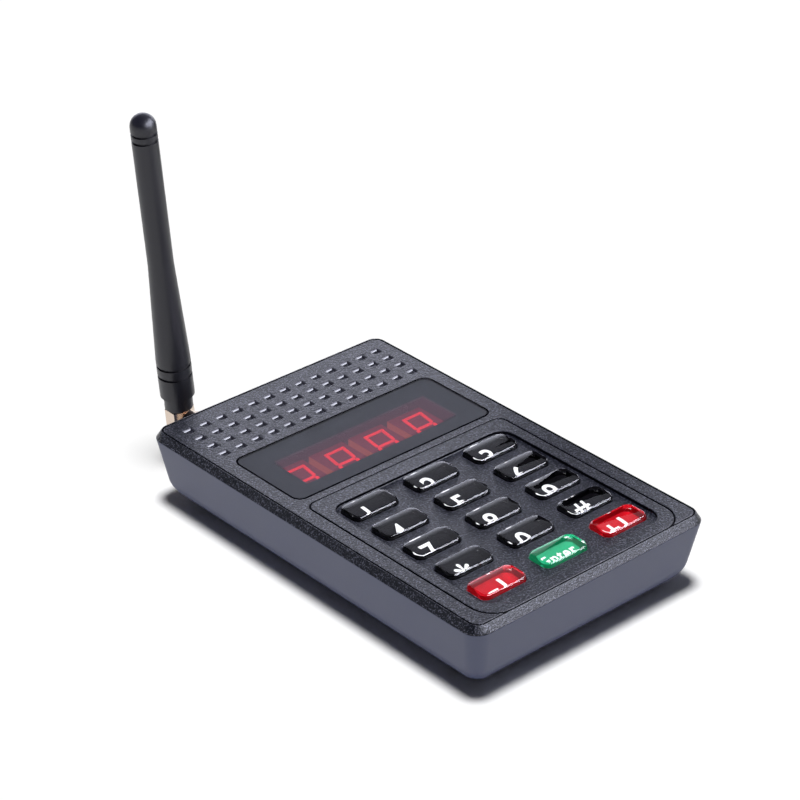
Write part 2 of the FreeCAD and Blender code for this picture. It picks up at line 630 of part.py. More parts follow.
def bottom_case():
    body = new_body("bottom_case")
    case_skin(body, "outer", "0", cut=False)
    case_skin(body, "inner", "case_wall", cut=True)

    posts = new_sketch(body, "case_posts", FLOOR)
    case_screw_circles(posts, "case_post_diameter")
    pad(body, "screw_posts", posts, "boss_split - case_wall")
    board_posts = new_sketch(body, "board_posts", FLOOR)
    board_screw_circles(board_posts, "board_post_diameter")
    pad(body, "board_posts_pad", board_posts, "board_rise")
    pilots = new_sketch(body, "board_pilots", BOARD_UNDER)
    board_screw_circles(pilots, "board_screw_diameter")
    pocket(body, "board_pilot_holes", pilots, "board_screw_reach")

    counterbores = new_sketch(body, "counterbores")
    case_screw_circles(counterbores, "case_screw_head + 2 * screw_clearance")
    pocket(body, "counterbore_holes", counterbores, "foot_stand + counterbore_depth", up=True)
    holes = new_sketch(body, "screw_holes")
    case_screw_circles(holes, "case_screw_diameter + 2 * screw_clearance")
    pocket(body, "screw_through_holes", holes, "foot_stand + boss_split + 1", up=True)
    feet = new_sketch(body, "foot_pockets")
    for x in (f"0 - {FOOT_X}", FOOT_X):
        for y in (f"0 - {FOOT_Y}", FOOT_Y):
            circle(feet, "foot_diameter + 2 * foot_clearance", x, y)
    pocket(body, "foot_recesses", feet, "foot_stand + foot_sink", up=True)

    behind = f"0 - {SEAT_Y}"
    seats = new_sketch(body, "socket_seats", behind, "XZ_Plane")
    faces = new_sketch(body, "seat_faces", behind, "XZ_Plane")
    bores = new_sketch(body, "socket_bores", behind, "XZ_Plane")
    for x, diameter in ((JACK_X, "thread_diameter"), (DC_X, "dc_nose")):
        circle(seats, "seat_diameter", x, CONNECTOR_Z)
        circle(faces, "seat_diameter", x, CONNECTOR_Z)
        circle(bores, f"{diameter} + 2 * socket_clearance", x, CONNECTOR_Z)
    pad(body, "seat_blocks", seats, "seat_thickness")
    pocket(body, "seat_spotfaces", faces, "seat_setback + 1")
    pocket(body, "socket_holes", bores, "seat_thickness + 1", up=True)

    slot = new_sketch(body, "switch_slot", f"0 - {BACK_Y}", "XZ_Plane")
    half_slot = "(slide_nub_width / 2 + slide_travel / 2 + slide_clearance)"
    middle = f"({BOARD_TOP} + slide_body_height / 2)"
    half_height = "(slide_nub_height / 2 + slide_clearance)"
    low, high = f"{middle} - {half_height}", f"{middle} + {half_height}"
    rectangle(slot, f"slide_x - {half_slot}", f"slide_x + {half_slot}", low, high)
    pocket(body, "switch_slot_hole", slot, "slide_setback + 1", up=True)


def top_cover():
    body = new_body("top_cover")
    foot = new_sketch(body, "foot", PARTING)
    inset_outline(foot, HOUSING)
    deck = new_sketch(body, "deck", DECK)
    inset_outline(deck, HOUSING, "rim_inset")
    loft(body, "plate", [foot, deck], straight=True)

    lip = new_sketch(body, "lip", PARTING)
    lip_inset = "case_wall / cos(case_draft) + lip_clearance + lip_depth * tan(case_draft)"
    inset_outline(lip, HOUSING, lip_inset)
    inset_outline(lip, HOUSING, f"{lip_inset} + lip_thickness")
    pad(body, "lip_wall", lip, "lip_depth", down=True)
    bosses = new_sketch(body, "bosses", PARTING)
    case_screw_circles(bosses, "cover_boss_diameter")
    pad(body, "screw_bosses", bosses, f"{PARTING} - {BOSS_FOOT}", down=True)
    pilots = new_sketch(body, "pilots", BOSS_FOOT)
    case_screw_circles(pilots, "case_screw_diameter")
    pocket(body, "pilot_holes", pilots, "case_screw_reach + 1", up=True)

    rim_groove = new_sketch(body, "rim_groove", DECK)
    inset_outline(rim_groove, HOUSING, "rim_inset + rim_land")
    inset_outline(rim_groove, HOUSING, "rim_inset + rim_land + groove_width")
    pocket(body, "rim_groove_cut", rim_groove, "groove_depth")

    panel_groove = new_sketch(body, "panel_groove", DECK)
    for inset in ("0", "groove_width"):
        left, right = f"{inset} - {PANEL_HALF}", f"{PANEL_HALF} - {inset}"
        front, back = f"rim_inset + rim_land - {BACK_Y} + {inset}", f"{PANEL_BACK} - {inset}"
        radii = f"panel_front_radius - {inset}", f"panel_back_radius - {inset}"
        rounded(panel_groove, left, right, front, back, *radii)
    pocket(body, "panel_groove_cut", panel_groove, "panel_groove_depth")

    recess = new_sketch(body, "keypad_recess", DECK)
    rounded(recess, f"0 - {RECESS_HALF}", RECESS_HALF, RECESS_FRONT, RECESS_BACK, "recess_radius")
    pocket(body, "keypad_recess_cut", recess, "recess_depth")

    hole = new_sketch(body, "key_hole", DECK)
    inset_outline(hole, KEY, "0 - key_clearance", f"(0 - {KEY_PITCH_X})", FIRST_ROW_Y)
    first_hole = pocket(body, "first_key_hole", hole, "cover_thickness + 1")
    grid(body, "key_holes", [first_hole], KEY_PITCH_X, len(KEYS[0]), KEY_PITCH_Y, len(KEYS))

    window = new_sketch(body, "window_recess", DECK)
    inset_outline(window, WINDOW, "0 - window_clearance", "0", WINDOW_Y)
    pocket(body, "window_recess_cut", window, "window_thickness + mask_thickness - window_stand")
    view = new_sketch(body, "view_opening", DECK)
    block_outline(view, *(f"({size} + 2 * view_ledge)" for size in VIEW), "0", VIEW_Y)
    pocket(body, "view_opening_cut", view, "cover_thickness + 1")

    mouth = new_sketch(body, "dimple_mouth", DECK)
    block_outline(mouth, "dimple_width", "dimple_length", FIRST_DIMPLE_X, FIRST_DIMPLE_Y)
    bed = new_sketch(body, "dimple_bed", f"{DECK} - dimple_depth")
    lean = "dimple_depth * tan(dimple_draft)"
    bed_size = [f"({size} - 2 * {lean})" for size in ("dimple_width", "dimple_length")]
    block_outline(bed, *bed_size, FIRST_DIMPLE_X, FIRST_DIMPLE_Y)
    first_dimple = loft(body, "first_dimple", [mouth, bed], cut=True, straight=True)
    grid(body, "dimples", [first_dimple], DIMPLE_PITCH_X, DIMPLE_COLUMNS, DIMPLE_PITCH_Y, DIMPLE_ROWS)


def fasteners_and_feet():
    screw_group(
        "case_screws", f"0 - {CASE_SCREW_X}", f"0 - {CASE_SCREW_FRONT}", "foot_stand + counterbore_depth",
        "case_screw_head", "case_screw_head_depth", "case_screw_diameter",
        "boss_split + boss_gap - counterbore_depth + case_screw_reach",
        f"2 * {CASE_SCREW_X}", f"{CASE_SCREW_FRONT} + {CASE_SCREW_BACK}", 2, head_up=False,
    )
    screw_group(
        "board_screws", f"0 - {BOARD_SCREW_X}", BOARD_SCREW_Y, BOARD_TOP, "board_screw_head",
        "board_screw_head_depth", "board_screw_diameter", "board_thickness + board_screw_reach",
        f"2 * {BOARD_SCREW_X}", BOARD_SCREW_PITCH, BOARD_SCREW_ROWS, head_up=True,
    )
    feet = new_body("rubber_feet", f"0 - {FOOT_X}", f"0 - {FOOT_Y}", separate_solids=True)
    sketch = new_sketch(feet, "foot")
    circle(sketch, "foot_diameter")
    foot = pad(feet, "disc", sketch, "foot_stand + foot_sink")
    grid(feet, "set", [foot], f"2 * {FOOT_X}", 2, f"2 * {FOOT_Y}", 2)


# --- window and display ----------------------------------------------------------------------

def display_window():
    mask_foot = f"({DECK} + window_stand - window_thickness - mask_thickness)"
    mask = new_body("window_mask", "0", WINDOW_Y, mask_foot)
    frame = new_sketch(mask, "frame")
    inset_outline(frame, WINDOW)
    block_outline(frame, *VIEW, "0", f"({VIEW_Y} - {WINDOW_Y})")
    pad(mask, "film", frame, "mask_thickness")

    window = new_body("display_window", "0", WINDOW_Y, f"{mask_foot} + mask_thickness")
    outline = new_sketch(window, "outline")
    inset_outline(outline, WINDOW)
    plate = pad(window, "plate", outline, "window_thickness")
    doc.recompute()
    dress(window, "Chamfer", "bevel", plate, edges_at_height(plate, "window_thickness"), "window_edge")


def segment_outlines():
    """Seven bars of one figure about its middle, before the slant, mitred at its four corners."""
    half = "segment_width / 2"
    across, along = "((digit_width - segment_width) / 2)", "((digit_height - segment_width) / 2)"
    outer_x, inner_x = f"({across} + {half})", f"({across} - {half})"
    outer_y, inner_y = f"({along} + {half})", f"({along} - {half})"
    tip, shoulder = f"({across} - segment_gap)", f"({inner_x} - segment_gap)"
    bars = [(
        (f"0 - {tip}", "0"), (f"0 - {shoulder}", f"0 - {half}"), (shoulder, f"0 - {half}"),
        (tip, "0"), (shoulder, half), (f"0 - {shoulder}", half),
    )]
    level_bar = (
        (f"(segment_gap - {outer_x})", outer_y), (f"({outer_x} - segment_gap)", outer_y),
        (shoulder, inner_y), (f"(0 - {shoulder})", inner_y),
    )
    upright_bar = (
        (outer_x, f"({outer_y} - segment_gap)"), (outer_x, f"(segment_gap + {half})"),
        (across, "segment_gap"),
        (inner_x, f"(segment_gap + {half})"), (inner_x, f"({inner_y} - segment_gap)"),
    )
    for up in ("", "0 - "):
        bars.append([(x, f"({up}{y})") for x, y in level_bar])
        for right in ("", "0 - "):
            bars.append([(f"({right}{x})", f"({up}{y})") for x, y in upright_bar])
    return bars


def display_digits():
    first_x = f"(0 - digit_pitch * {(DIGITS - 1) / 2})"
    modules = new_body("display_digits", first_x, VIEW_Y, BOARD_TOP, separate_solids=True)
    outline = new_sketch(modules, "outline")
    block_outline(outline, "digit_body_width", "digit_body_length")
    block = pad(modules, "block", outline, "digit_body_height")
    grid(modules, "row", [block], "digit_pitch", DIGITS)

    segments = new_body("display_segments", first_x, VIEW_Y, DIGIT_FACE, separate_solids=True)
    figure = new_sketch(segments, "figure")
    for bar in segment_outlines():
        polygon(figure, [(f"{x} + ({y}) * tan(digit_slant)", y) for x, y in bar])
    lenses = pad(segments, "lenses", figure, "segment_thickness")
    grid(segments, "row", [lenses], "digit_pitch", DIGITS)


# --- keys ------------------------------------------------------------------------------------

def key_cap(name, x, y):
    """Clear block with a round top edge, pressed into its carrier."""
    body = new_body(f"key_cap_{name}", x, y, CAP_FOOT)
    outline = new_sketch(body, "outline")
    inset_outline(outline, KEY)
    block = pad(body, "block", outline, "cap_height")
    doc.recompute()
    dress(body, "Fillet", "edge", block, edges_at_height(block, "cap_height"), "key_edge")


def key_plunger(name, x, y):
    """Carrier whose rim holds the key under the cover, with a stem and a pin for the switch."""
    rim = f"({PARTING} - carrier_gap)"
    carrier_foot = f"({CAP_FOOT} - carrier_floor)"
    switch_top = f"({BOARD_TOP} + switch_height)"
    stem_foot = f"({switch_top} + key_travel + stem_gap)"
    body = new_body(f"key_plunger_{name}", x, y)
    carrier = new_sketch(body, "carrier", carrier_foot)
    inset_outline(carrier, KEY, "0 - cap_fit - carrier_wall")
    pad(body, "carrier_block", carrier, f"{rim} - {carrier_foot}")
    seat = new_sketch(body, "seat", rim)
    inset_outline(seat, KEY, "0 - cap_fit")
    pocket(body, "seat_pocket", seat, f"{rim} - {CAP_FOOT}")
    stem = new_sketch(body, "stem", carrier_foot)
    circle(stem, "key_stem")
    pad(body, "stem_rod", stem, f"{carrier_foot} - {stem_foot}", down=True)
    pin = new_sketch(body, "pin", stem_foot)
    circle(pin, "key_pin")
    pad(body, "pin_rod", pin, f"{stem_foot} - {switch_top} + key_pin_reach", down=True)


def keypad():
    for row, names in enumerate(KEYS):
        for column, name in enumerate(names):
            x = f"{KEY_PITCH_X} * ({column - 1})"
            y = f"{FIRST_ROW_Y} + {KEY_PITCH_Y} * {row}"
            key_cap(name, x, y)
            key_plunger(name, x, y)

    first_x = f"0 - {KEY_PITCH_X}"
    switches = new_body("key_switches", first_x, FIRST_ROW_Y, BOARD_TOP, separate_solids=True)
    outline = new_sketch(switches, "outline")
    block_outline(outline, "switch_size", "switch_size")
    block = pad(switches, "block", outline, "switch_height")
    bore = new_sketch(switches, "bore", "switch_height")
    circle(bore, "switch_bore")
    bore_cut = pocket(switches, "bore_cut", bore, "switch_bore_depth")
    grid(switches, "set", [block, bore_cut], KEY_PITCH_X, len(KEYS[0]), KEY_PITCH_Y, len(KEYS))


# --- boards and components -------------------------------------------------------------------

def main_board():
    body = new_body("main_board", "0", "0", BOARD_UNDER)
    outline = new_sketch(body, "outline")
    inset_outline(outline, BOARD)
    pad(body, "plate", outline, "board_thickness")
    notches = new_sketch(body, "notches", "board_thickness")
    case_screw_circles(notches, "case_post_diameter + 2 * post_clearance")
    pocket(body, "post_notches", notches, "board_thickness + 1")
    holes = new_sketch(body, "holes", "board_thickness")
    board_screw_circles(holes, "board_screw_diameter + 2 * screw_clearance")
    pocket(body, "screw_holes", holes, "board_thickness + 1")


def from_back(setback):
    """Place on the board, measured from the parting line at the back."""
    return f"{BACK_Y} - {setback}"


def radio():
    x = f"{JACK_X} + rf_offset"
    rf_top = f"({BOARD_TOP} + rf_thickness)"
    box_piece("rf_module", "rf_width", "rf_length", "rf_thickness", x, from_back("rf_setback"), BOARD_TOP)
    size = "shield_width", "shield_length", "shield_height"
    shield = box_piece("rf_shield", *size, x, from_back("shield_setback"), rf_top)
    hollow = new_sketch(shield, "hollow")
    block_outline(hollow, "(shield_width - 2 * shield_skin)", "(shield_length - 2 * shield_skin)")
    pocket(shield, "hollow_cut", hollow, "shield_height - shield_skin", up=True)


def buzzer():
    x = f"{BOARD[0]} / 2 - buzzer_margin"
    body = new_body("buzzer", x, from_back("buzzer_setback"), BOARD_TOP)
    rim = new_sketch(body, "rim")
    circle(rim, "buzzer_diameter")
    pad(body, "can", rim, "buzzer_height")
    port = new_sketch(body, "port", "buzzer_height")
    circle(port, "buzzer_port")
    pocket(body, "port_hole", port, "buzzer_height / 2")


def control_chip():
    size = "chip_width", "chip_length", "chip_height"
    body = box_piece("control_chip", *size, "chip_x", from_back("chip_setback"), BOARD_TOP)
    leg = new_sketch(body, "leg")
    block_outline(leg, "leg_width", "leg_span", f"(0 - leg_pitch * {(CHIP_LEGS - 1) / 2})", "0")
    first_leg = pad(body, "first_leg", leg, "leg_thickness")
    grid(body, "legs", [first_leg], "leg_pitch", CHIP_LEGS)


def small_components():
    crystal_x = "chip_x + chip_width / 2 + crystal_gap + crystal_width / 2"
    size = "crystal_width", "crystal_length", "crystal_height"
    box_piece("crystal", *size, crystal_x, from_back("chip_setback"), BOARD_TOP)
    capacitor_x = f"({DC_X} - dc_body_width / 2 - capacitor_gap - capacitor_diameter / 2)"
    capacitor = new_body("filter_capacitor", capacitor_x, from_back("capacitor_setback"), BOARD_TOP)
    can = new_sketch(capacitor, "can")
    circle(can, "capacitor_diameter")
    pad(capacitor, "can_block", can, "capacitor_height")
    regulator_x = f"{capacitor_x} - capacitor_diameter / 2 - regulator_gap - regulator_width / 2"
    size = "regulator_width", "regulator_length", "regulator_height"
    box_piece("voltage_regulator", *size, regulator_x, from_back("regulator_setback"), BOARD_TOP)


def power_socket():
    """Barrel socket: a block on the board, a round nose in the wall and a centre pin."""
    body = new_body("dc_socket", DC_X, SEAT_INNER_Y, BOARD_TOP)
    axis = f"({CONNECTOR_Z} - {BOARD_TOP})"
    block = new_sketch(body, "block")
    half_width, front = "dc_body_width / 2", "0 - dc_body_length - wall_gap"
    rectangle(block, f"0 - {half_width}", half_width, front, "0 - wall_gap")
    pad(body, "block_pad", block, f"2 * {axis}")
    nose = new_sketch(body, "nose", "wall_gap + dc_bore_depth / 2", "XZ_Plane")
    circle(nose, "dc_nose", "0", axis)
    pad(body, "nose_rod", nose, "seat_thickness + wall_gap + dc_bore_depth / 2", down=True)
    bore = new_sketch(body, "bore", "0 - seat_thickness", "XZ_Plane")
    circle(bore, "dc_bore", "0", axis)
    pocket(body, "bore_cut", bore, "dc_bore_depth", up=True)
    pin = new_sketch(body, "pin", "dc_bore_depth + 1 - seat_thickness", "XZ_Plane")
    circle(pin, "dc_pin", "0", axis)
    pad(body, "pin_rod", pin, "dc_bore_depth + 1 - dc_pin_setback", down=True)


def power_switch():
    front_y = f"({BACK_Y} - slide_setback)"
    body = new_body("power_switch_body", "slide_x", front_y, BOARD_TOP)
    outline = new_sketch(body, "outline")
    rectangle(outline, "0 - slide_body_width / 2", "slide_body_width / 2", "0 - slide_body_length", "0")
    pad(body, "block", outline, "slide_body_height")
    cavity = new_sketch(body, "cavity", "0", "XZ_Plane")
    half_width = "(slide_block_width / 2 + slide_travel / 2 + slide_clearance)"
    half_height = "(slide_block_height / 2 + slide_clearance)"
    middle = "slide_body_height / 2"
    low, high = f"{middle} - {half_height}", f"{middle} + {half_height}"
    rectangle(cavity, f"0 - {half_width}", half_width, low, high)
    pocket(body, "cavity_cut", cavity, "slide_block_length + 2 * slide_clearance", up=True)

    slider_height = f"{BOARD_TOP} + {middle}"
    slider = new_body("power_switch_slider", "slide_x - slide_travel / 2", front_y, slider_height)
    block = new_sketch(slider, "block", "slide_clearance", "XZ_Plane")
    block_outline(block, "slide_block_width", "slide_block_height")
    pad(slider, "block_pad", block, "slide_block_length")
    nub = new_sketch(slider, "nub", "slide_clearance", "XZ_Plane")
    block_outline(nub, "slide_nub_width", "slide_nub_height")
    pad(slider, "nub_bar", nub, "slide_clearance + slide_nub_reach", down=True)


# --- antenna ---------------------------------------------------------------------------------

COIL_BORE = "(sleeve_length - tip_wall)"


def lean_back_to_rest(body):
    """Tilt a piece about the jack axis, towards -X, as the antenna stands at rest."""
    body.Placement = Placement(Vector(), Rotation(Vector(0, -1, 0), number("antenna_tilt_angle")))
    bind(body, "Placement.Rotation.Angle", "antenna_tilt_angle")
    place(body, JACK_X, ANTENNA_Y, CONNECTOR_Z)


def sleeve_profile(sketch):
    """Half outline of the sleeve from its foot to its dome, with four ring grooves."""
    neck, collar, shaft = "neck_diameter / 2", "collar_diameter / 2", "shaft_diameter / 2"
    bore = "coil_bore / 2"
    points = [(bore, "0"), (neck, "0"), (neck, "neck_length"), (collar, "neck_length")]
    tip_low, tip_high = "sleeve_length - tip_groove_low", "sleeve_length - tip_groove_high"
    rings = (("base_groove_low", collar), ("base_groove_high", collar), (tip_low, shaft), (tip_high, shaft))
    for level, radius in rings:
        if level == tip_low:
            points += [(collar, "flare_low"), (shaft, "flare_high")]
        points += [(radius, level), (f"{radius} - ring_depth", level)]
        points += [(f"{radius} - ring_depth", f"{level} + ring_width"), (radius, f"{level} + ring_width")]
    points = [(x, f"sleeve_base + {z}") for x, z in points]
    dome_foot = "(sleeve_base + sleeve_length - shaft_diameter / 2)"
    points += [(shaft, dome_foot), ("0", "sleeve_base + sleeve_length")]
    points += [("0", f"sleeve_base + {COIL_BORE}"), (bore, f"sleeve_base + {COIL_BORE}")]

    corners = [Vector(number(x), number(z), 0) for x, z in points]
    dome_start = len(points) - 4
    centre = Vector(0, number(dome_foot), 0)
    ring = Part.Circle(centre, Vector(0, 0, 1), number(shaft))
    shapes = []
    for index, corner in enumerate(corners):
        following = corners[(index + 1) % len(corners)]
        if index == dome_start:
            shapes.append(sketch.addGeometry(Part.ArcOfCircle(ring, 0, math.pi / 2)))
        else:
            shapes.append(sketch.addGeometry(Part.LineSegment(corner, following)))
    for shape, following in zip(shapes, shapes[1:] + shapes[:1]):
        sketch.addConstraint(Sketcher.Constraint("Coincident", shape, 2, following, 1))
    for index, (x, z) in enumerate(points):
        if index == dome_start + 1:
            dimension(sketch, "DistanceX", (-1, 1, shapes[index], 1), x)
        else:
            fix_point(sketch, shapes[index], 1, x, z)
    fix_point(sketch, shapes[dome_start], 3, "0", dome_foot)


def antenna():
    sleeve = new_body("antenna_sleeve")
    lean_back_to_rest(sleeve)
    profile = new_sketch(sleeve, "profile", "0", "XZ_Plane")
    sleeve_profile(profile)
    revolve(sleeve, "turned", profile)

    helix = doc.addObject("Part::Helix", "coil_path")
    bind(helix, "Pitch", "coil_pitch")
    bind(helix, "Height", f"{COIL_BORE} - post_length - coil_wire - coil_end_gap")
    bind(helix, "Radius", "(coil_diameter - coil_wire) / 2")
    wire = doc.addObject("Part::Circle", "coil_section")
    wire.Placement = Placement(Vector(), Rotation(Vector(1, 0, 0), 90))
    bind(wire, "Radius", "coil_wire / 2")
    bind(wire, "Placement.Base.x", "(coil_diameter - coil_wire) / 2")
    raised = doc.addObject("Part::Sweep", "coil_sweep")
    raised.Sections = [wire]
    raised.Spine = (helix, ["Edge1"])
    raised.Solid = True
    raised.Frenet = True
    coil = doc.addObject("Part::Compound", "antenna_coil")
    coil.Label = "antenna_coil"
    coil.Links = [raised]
    bind(raised, "Placement.Base.z", "sleeve_base + post_length + coil_wire")
    lean_back_to_rest(coil)

    elbow = new_body("antenna_elbow")
    lean_back_to_rest(elbow)
    hexagonal = new_sketch(elbow, "hexagon", "0 - elbow_drop")
    hexagon(hexagonal, "elbow_flats")
    prism = pad(elbow, "prism", hexagonal, "elbow_drop + sleeve_base")
    doc.recompute()
    rims = edges_at_height(prism, "0 - elbow_drop") + edges_at_height(prism, "sleeve_base")
    dress(elbow, "Chamfer", "prism_bevels", prism, rims, "elbow_edge")
    post = new_sketch(elbow, "post", "sleeve_base")
    circle(post, "post_diameter")
    pad(elbow, "post_rod", post, "post_length")
    nut_back = "nut_setback"
    jack_mouth = f"({nut_back} + nut_flange)"
    flat = new_sketch(elbow, "arm_flat", "elbow_face", "XZ_Plane")
    block_outline(flat, "2 * elbow_flats", "3 * elbow_flats")
    pocket(elbow, "arm_flat_cut", flat, "elbow_flats", up=True)
    arm = new_sketch(elbow, "arm", "0", "XZ_Plane")
    circle(arm, "neck_arm")
    pad(elbow, "arm_rod", arm, jack_mouth)
    spigot = new_sketch(elbow, "spigot", "0", "XZ_Plane")
    circle(spigot, "jack_bore - 2 * fit_clearance")
    pad(elbow, "spigot_rod", spigot, f"{jack_mouth} + jack_bore_depth - fit_clearance")

    nut = new_body("coupling_nut", JACK_X, f"{ANTENNA_Y} - {nut_back}", CONNECTOR_Z)
    nut_outline = new_sketch(nut, "outline", "0", "XZ_Plane")
    hexagon(nut_outline, "nut_flats")
    circle(nut_outline, "neck_arm + 2 * fit_clearance")
    pad(nut, "prism", nut_outline, "nut_length")
    thread = new_sketch(nut, "thread", "nut_flange", "XZ_Plane")
    circle(thread, "thread_diameter + 2 * fit_clearance")
    pocket(nut, "thread_bore", thread, "nut_length", up=True)


def antenna_jack():
    """Bulkhead jack: threaded barrel through the wall, with a flange inside and a nut outside."""
    mouth_y = f"({ANTENNA_Y} - nut_setback - nut_flange - fit_clearance)"
    jack = new_body("antenna_jack", JACK_X, SEAT_INNER_Y, CONNECTOR_Z)
    barrel = new_sketch(jack, "barrel", "jack_flange_thickness + jack_tail", "XZ_Plane")
    circle(barrel, "thread_diameter")
    behind_wall = "jack_flange_thickness + jack_tail"
    pad(jack, "barrel_rod", barrel, f"{mouth_y} - {SEAT_INNER_Y} + {behind_wall}", down=True)
    flange = new_sketch(jack, "flange", "0", "XZ_Plane")
    circle(flange, "jack_flange")
    pad(jack, "flange_disc", flange, "jack_flange_thickness")
    bore = new_sketch(jack, "bore", f"{SEAT_INNER_Y} - {mouth_y}", "XZ_Plane")
    circle(bore, "jack_bore")
    pocket(jack, "mouth", bore, "jack_bore_depth", up=True)

    washer = new_body("jack_washer", JACK_X, f"{SEAT_Y} + washer_thickness", CONNECTOR_Z)
    ring = new_sketch(washer, "ring", "0", "XZ_Plane")
    circle(ring, "washer_diameter")
    circle(ring, "thread_diameter + 2 * fit_clearance")
    pad(washer, "disc", ring, "washer_thickness")

    nut = new_body("jack_nut", JACK_X, f"{SEAT_Y} + washer_thickness + jack_nut_thickness", CONNECTOR_Z)
    outline = new_sketch(nut, "outline", "0", "XZ_Plane")
    hexagon(outline, "nut_flats")
    circle(outline, "thread_diameter + 2 * fit_clearance")
    pad(nut, "prism", outline, "jack_nut_thickness")


def coax_lead():
    """Lead from the tail of the jack, round one bend and down onto the radio module."""
    tail_y = f"{SEAT_INNER_Y} - jack_flange_thickness - jack_tail"
    lead = new_body("coax_lead", JACK_X, tail_y, CONNECTOR_Z)
    section = new_sketch(lead, "section", "0", "XZ_Plane")
    circle(section, "lead_diameter")
    drop = f"({CONNECTOR_Z} - {BOARD_TOP} - rf_thickness)"
    route = new_sketch(lead, "route", "0", "YZ_Plane")
    run, bend = number("lead_run"), number("lead_bend")
    turn_end = Vector(-run - bend, -bend, 0)
    foot = Vector(-run - bend, -number(drop), 0)
    ring = Part.Circle(Vector(-run, -bend, 0), Vector(0, 0, 1), bend)
    start = route.addGeometry(Part.LineSegment(Vector(), Vector(-run, 0, 0)))
    turn = route.addGeometry(Part.ArcOfCircle(ring, math.pi / 2, math.pi))
    end = route.addGeometry(Part.LineSegment(turn_end, foot))
    route.addConstraint(Sketcher.Constraint("Coincident", start, 1, -1, 1))
    route.addConstraint(Sketcher.Constraint("Horizontal", start))
    route.addConstraint(Sketcher.Constraint("Vertical", end))
    route.addConstraint(Sketcher.Constraint("Tangent", start, 2, turn, 1))
    route.addConstraint(Sketcher.Constraint("Tangent", turn, 2, end, 1))
    dimension(route, "DistanceX", (-1, 1, start, 2), "0 - lead_run")
    dimension(route, "Radius", (turn,), "lead_bend")
    dimension(route, "DistanceY", (-1, 1, end, 2), f"0 - {drop}")
    pipe = lead.newObject("PartDesign::AdditivePipe", "coax_lead_pipe")
    pipe.Profile = section
    pipe.Spine = (route, [])
    lead.Tip = pipe


# --- build, check and write ------------------------------------------------------------------

bottom_case()
top_cover()
fasteners_and_feet()
display_window()
display_digits()
keypad()
main_board()
radio()
buzzer()
control_chip()
small_components()
power_socket()
power_switch()
antenna()
antenna_jack()
coax_lead()
doc.recompute()

for item in doc.Objects:
    if "Invalid" in item.State or "Error" in item.State:
        raise RuntimeError(f"{item.Name} failed: {item.State}")
    if item.TypeId in ("PartDesign::Pocket", "PartDesign::SubtractiveLoft"):
        if item.Shape.Volume >= item.BaseFeature.Shape.Volume:
            raise RuntimeError(f"{item.Name} cuts nothing")

pieces = [item for item in doc.Objects if item.TypeId == "PartDesign::Body" or item.Name == "antenna_coil"]
for piece in pieces:
    if piece.Shape.isNull() or not piece.Shape.isValid() or piece.Shape.Volume <= 0:
        raise RuntimeError(f"{piece.Label} has no sound shape")

os.makedirs("parts", exist_ok=True)
for piece in pieces:
    piece.Shape.exportStep(f"parts/{piece.Label}.step")
print(f"{len(pieces)} pieces, {sum(len(piece.Shape.Solids) for piece in pieces)} solids")
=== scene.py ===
import json
import math

import bmesh
import bpy
from mathutils import Matrix, Vector


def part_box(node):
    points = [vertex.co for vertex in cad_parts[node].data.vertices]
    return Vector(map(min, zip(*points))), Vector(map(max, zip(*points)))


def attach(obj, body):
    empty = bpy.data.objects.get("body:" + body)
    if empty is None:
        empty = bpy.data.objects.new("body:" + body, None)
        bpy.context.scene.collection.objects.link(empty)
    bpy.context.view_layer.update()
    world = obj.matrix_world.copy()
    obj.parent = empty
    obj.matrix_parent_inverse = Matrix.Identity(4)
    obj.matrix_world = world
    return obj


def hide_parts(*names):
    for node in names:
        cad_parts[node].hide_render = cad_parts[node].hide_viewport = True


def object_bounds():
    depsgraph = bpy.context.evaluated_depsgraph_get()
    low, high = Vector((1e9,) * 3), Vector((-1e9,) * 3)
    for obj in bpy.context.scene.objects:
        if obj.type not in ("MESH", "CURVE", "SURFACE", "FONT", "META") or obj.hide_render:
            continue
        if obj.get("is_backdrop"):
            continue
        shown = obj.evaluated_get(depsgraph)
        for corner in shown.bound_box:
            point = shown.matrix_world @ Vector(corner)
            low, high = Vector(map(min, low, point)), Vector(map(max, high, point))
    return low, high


# %% [markdown]
# # A guest pager transmitter, dressed in Blender
# The real object is a low plastic box that stands on a restaurant counter. It has fifteen clear
# keys, a red segment display behind a smoked window, a field of blind grille dimples and a whip
# antenna on a gold plated elbow. The CAD model holds every piece at its real size. This lesson
# gives the pieces their looks: rounded edges, clear keys with figures under them, and a finish
# for each plastic and metal.

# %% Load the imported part
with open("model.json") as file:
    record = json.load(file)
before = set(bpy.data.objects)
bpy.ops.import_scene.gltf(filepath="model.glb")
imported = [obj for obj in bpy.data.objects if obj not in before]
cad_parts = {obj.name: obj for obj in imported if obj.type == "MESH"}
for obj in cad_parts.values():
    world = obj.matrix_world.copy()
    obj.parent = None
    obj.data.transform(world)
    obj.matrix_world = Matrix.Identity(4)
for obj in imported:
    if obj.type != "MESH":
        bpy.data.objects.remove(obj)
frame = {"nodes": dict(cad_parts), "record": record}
cad_low, cad_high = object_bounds()
nodes = frame["nodes"]
print(len(nodes), "nodes from", tuple(cad_low), "to", tuple(cad_high))

# %% [markdown]
# ## Camera
# A product shot of a box this small is taken from a distance with a long lens, so its edges
# nearly keep their parallels. The camera could be aimed with a constraint, but a matrix of its
# three axes says the view in one place and can't drift.

# %% Camera
scene = bpy.context.scene
LENS = 124.543
SENSOR = 36.0
CAMERA_PLACE = Vector((-0.44734, -0.500225, 0.42901))
CAMERA_RIGHT = Vector((0.746294, -0.665616, 0.000973))
CAMERA_UP = Vector((0.330993, 0.372380, 0.867071))

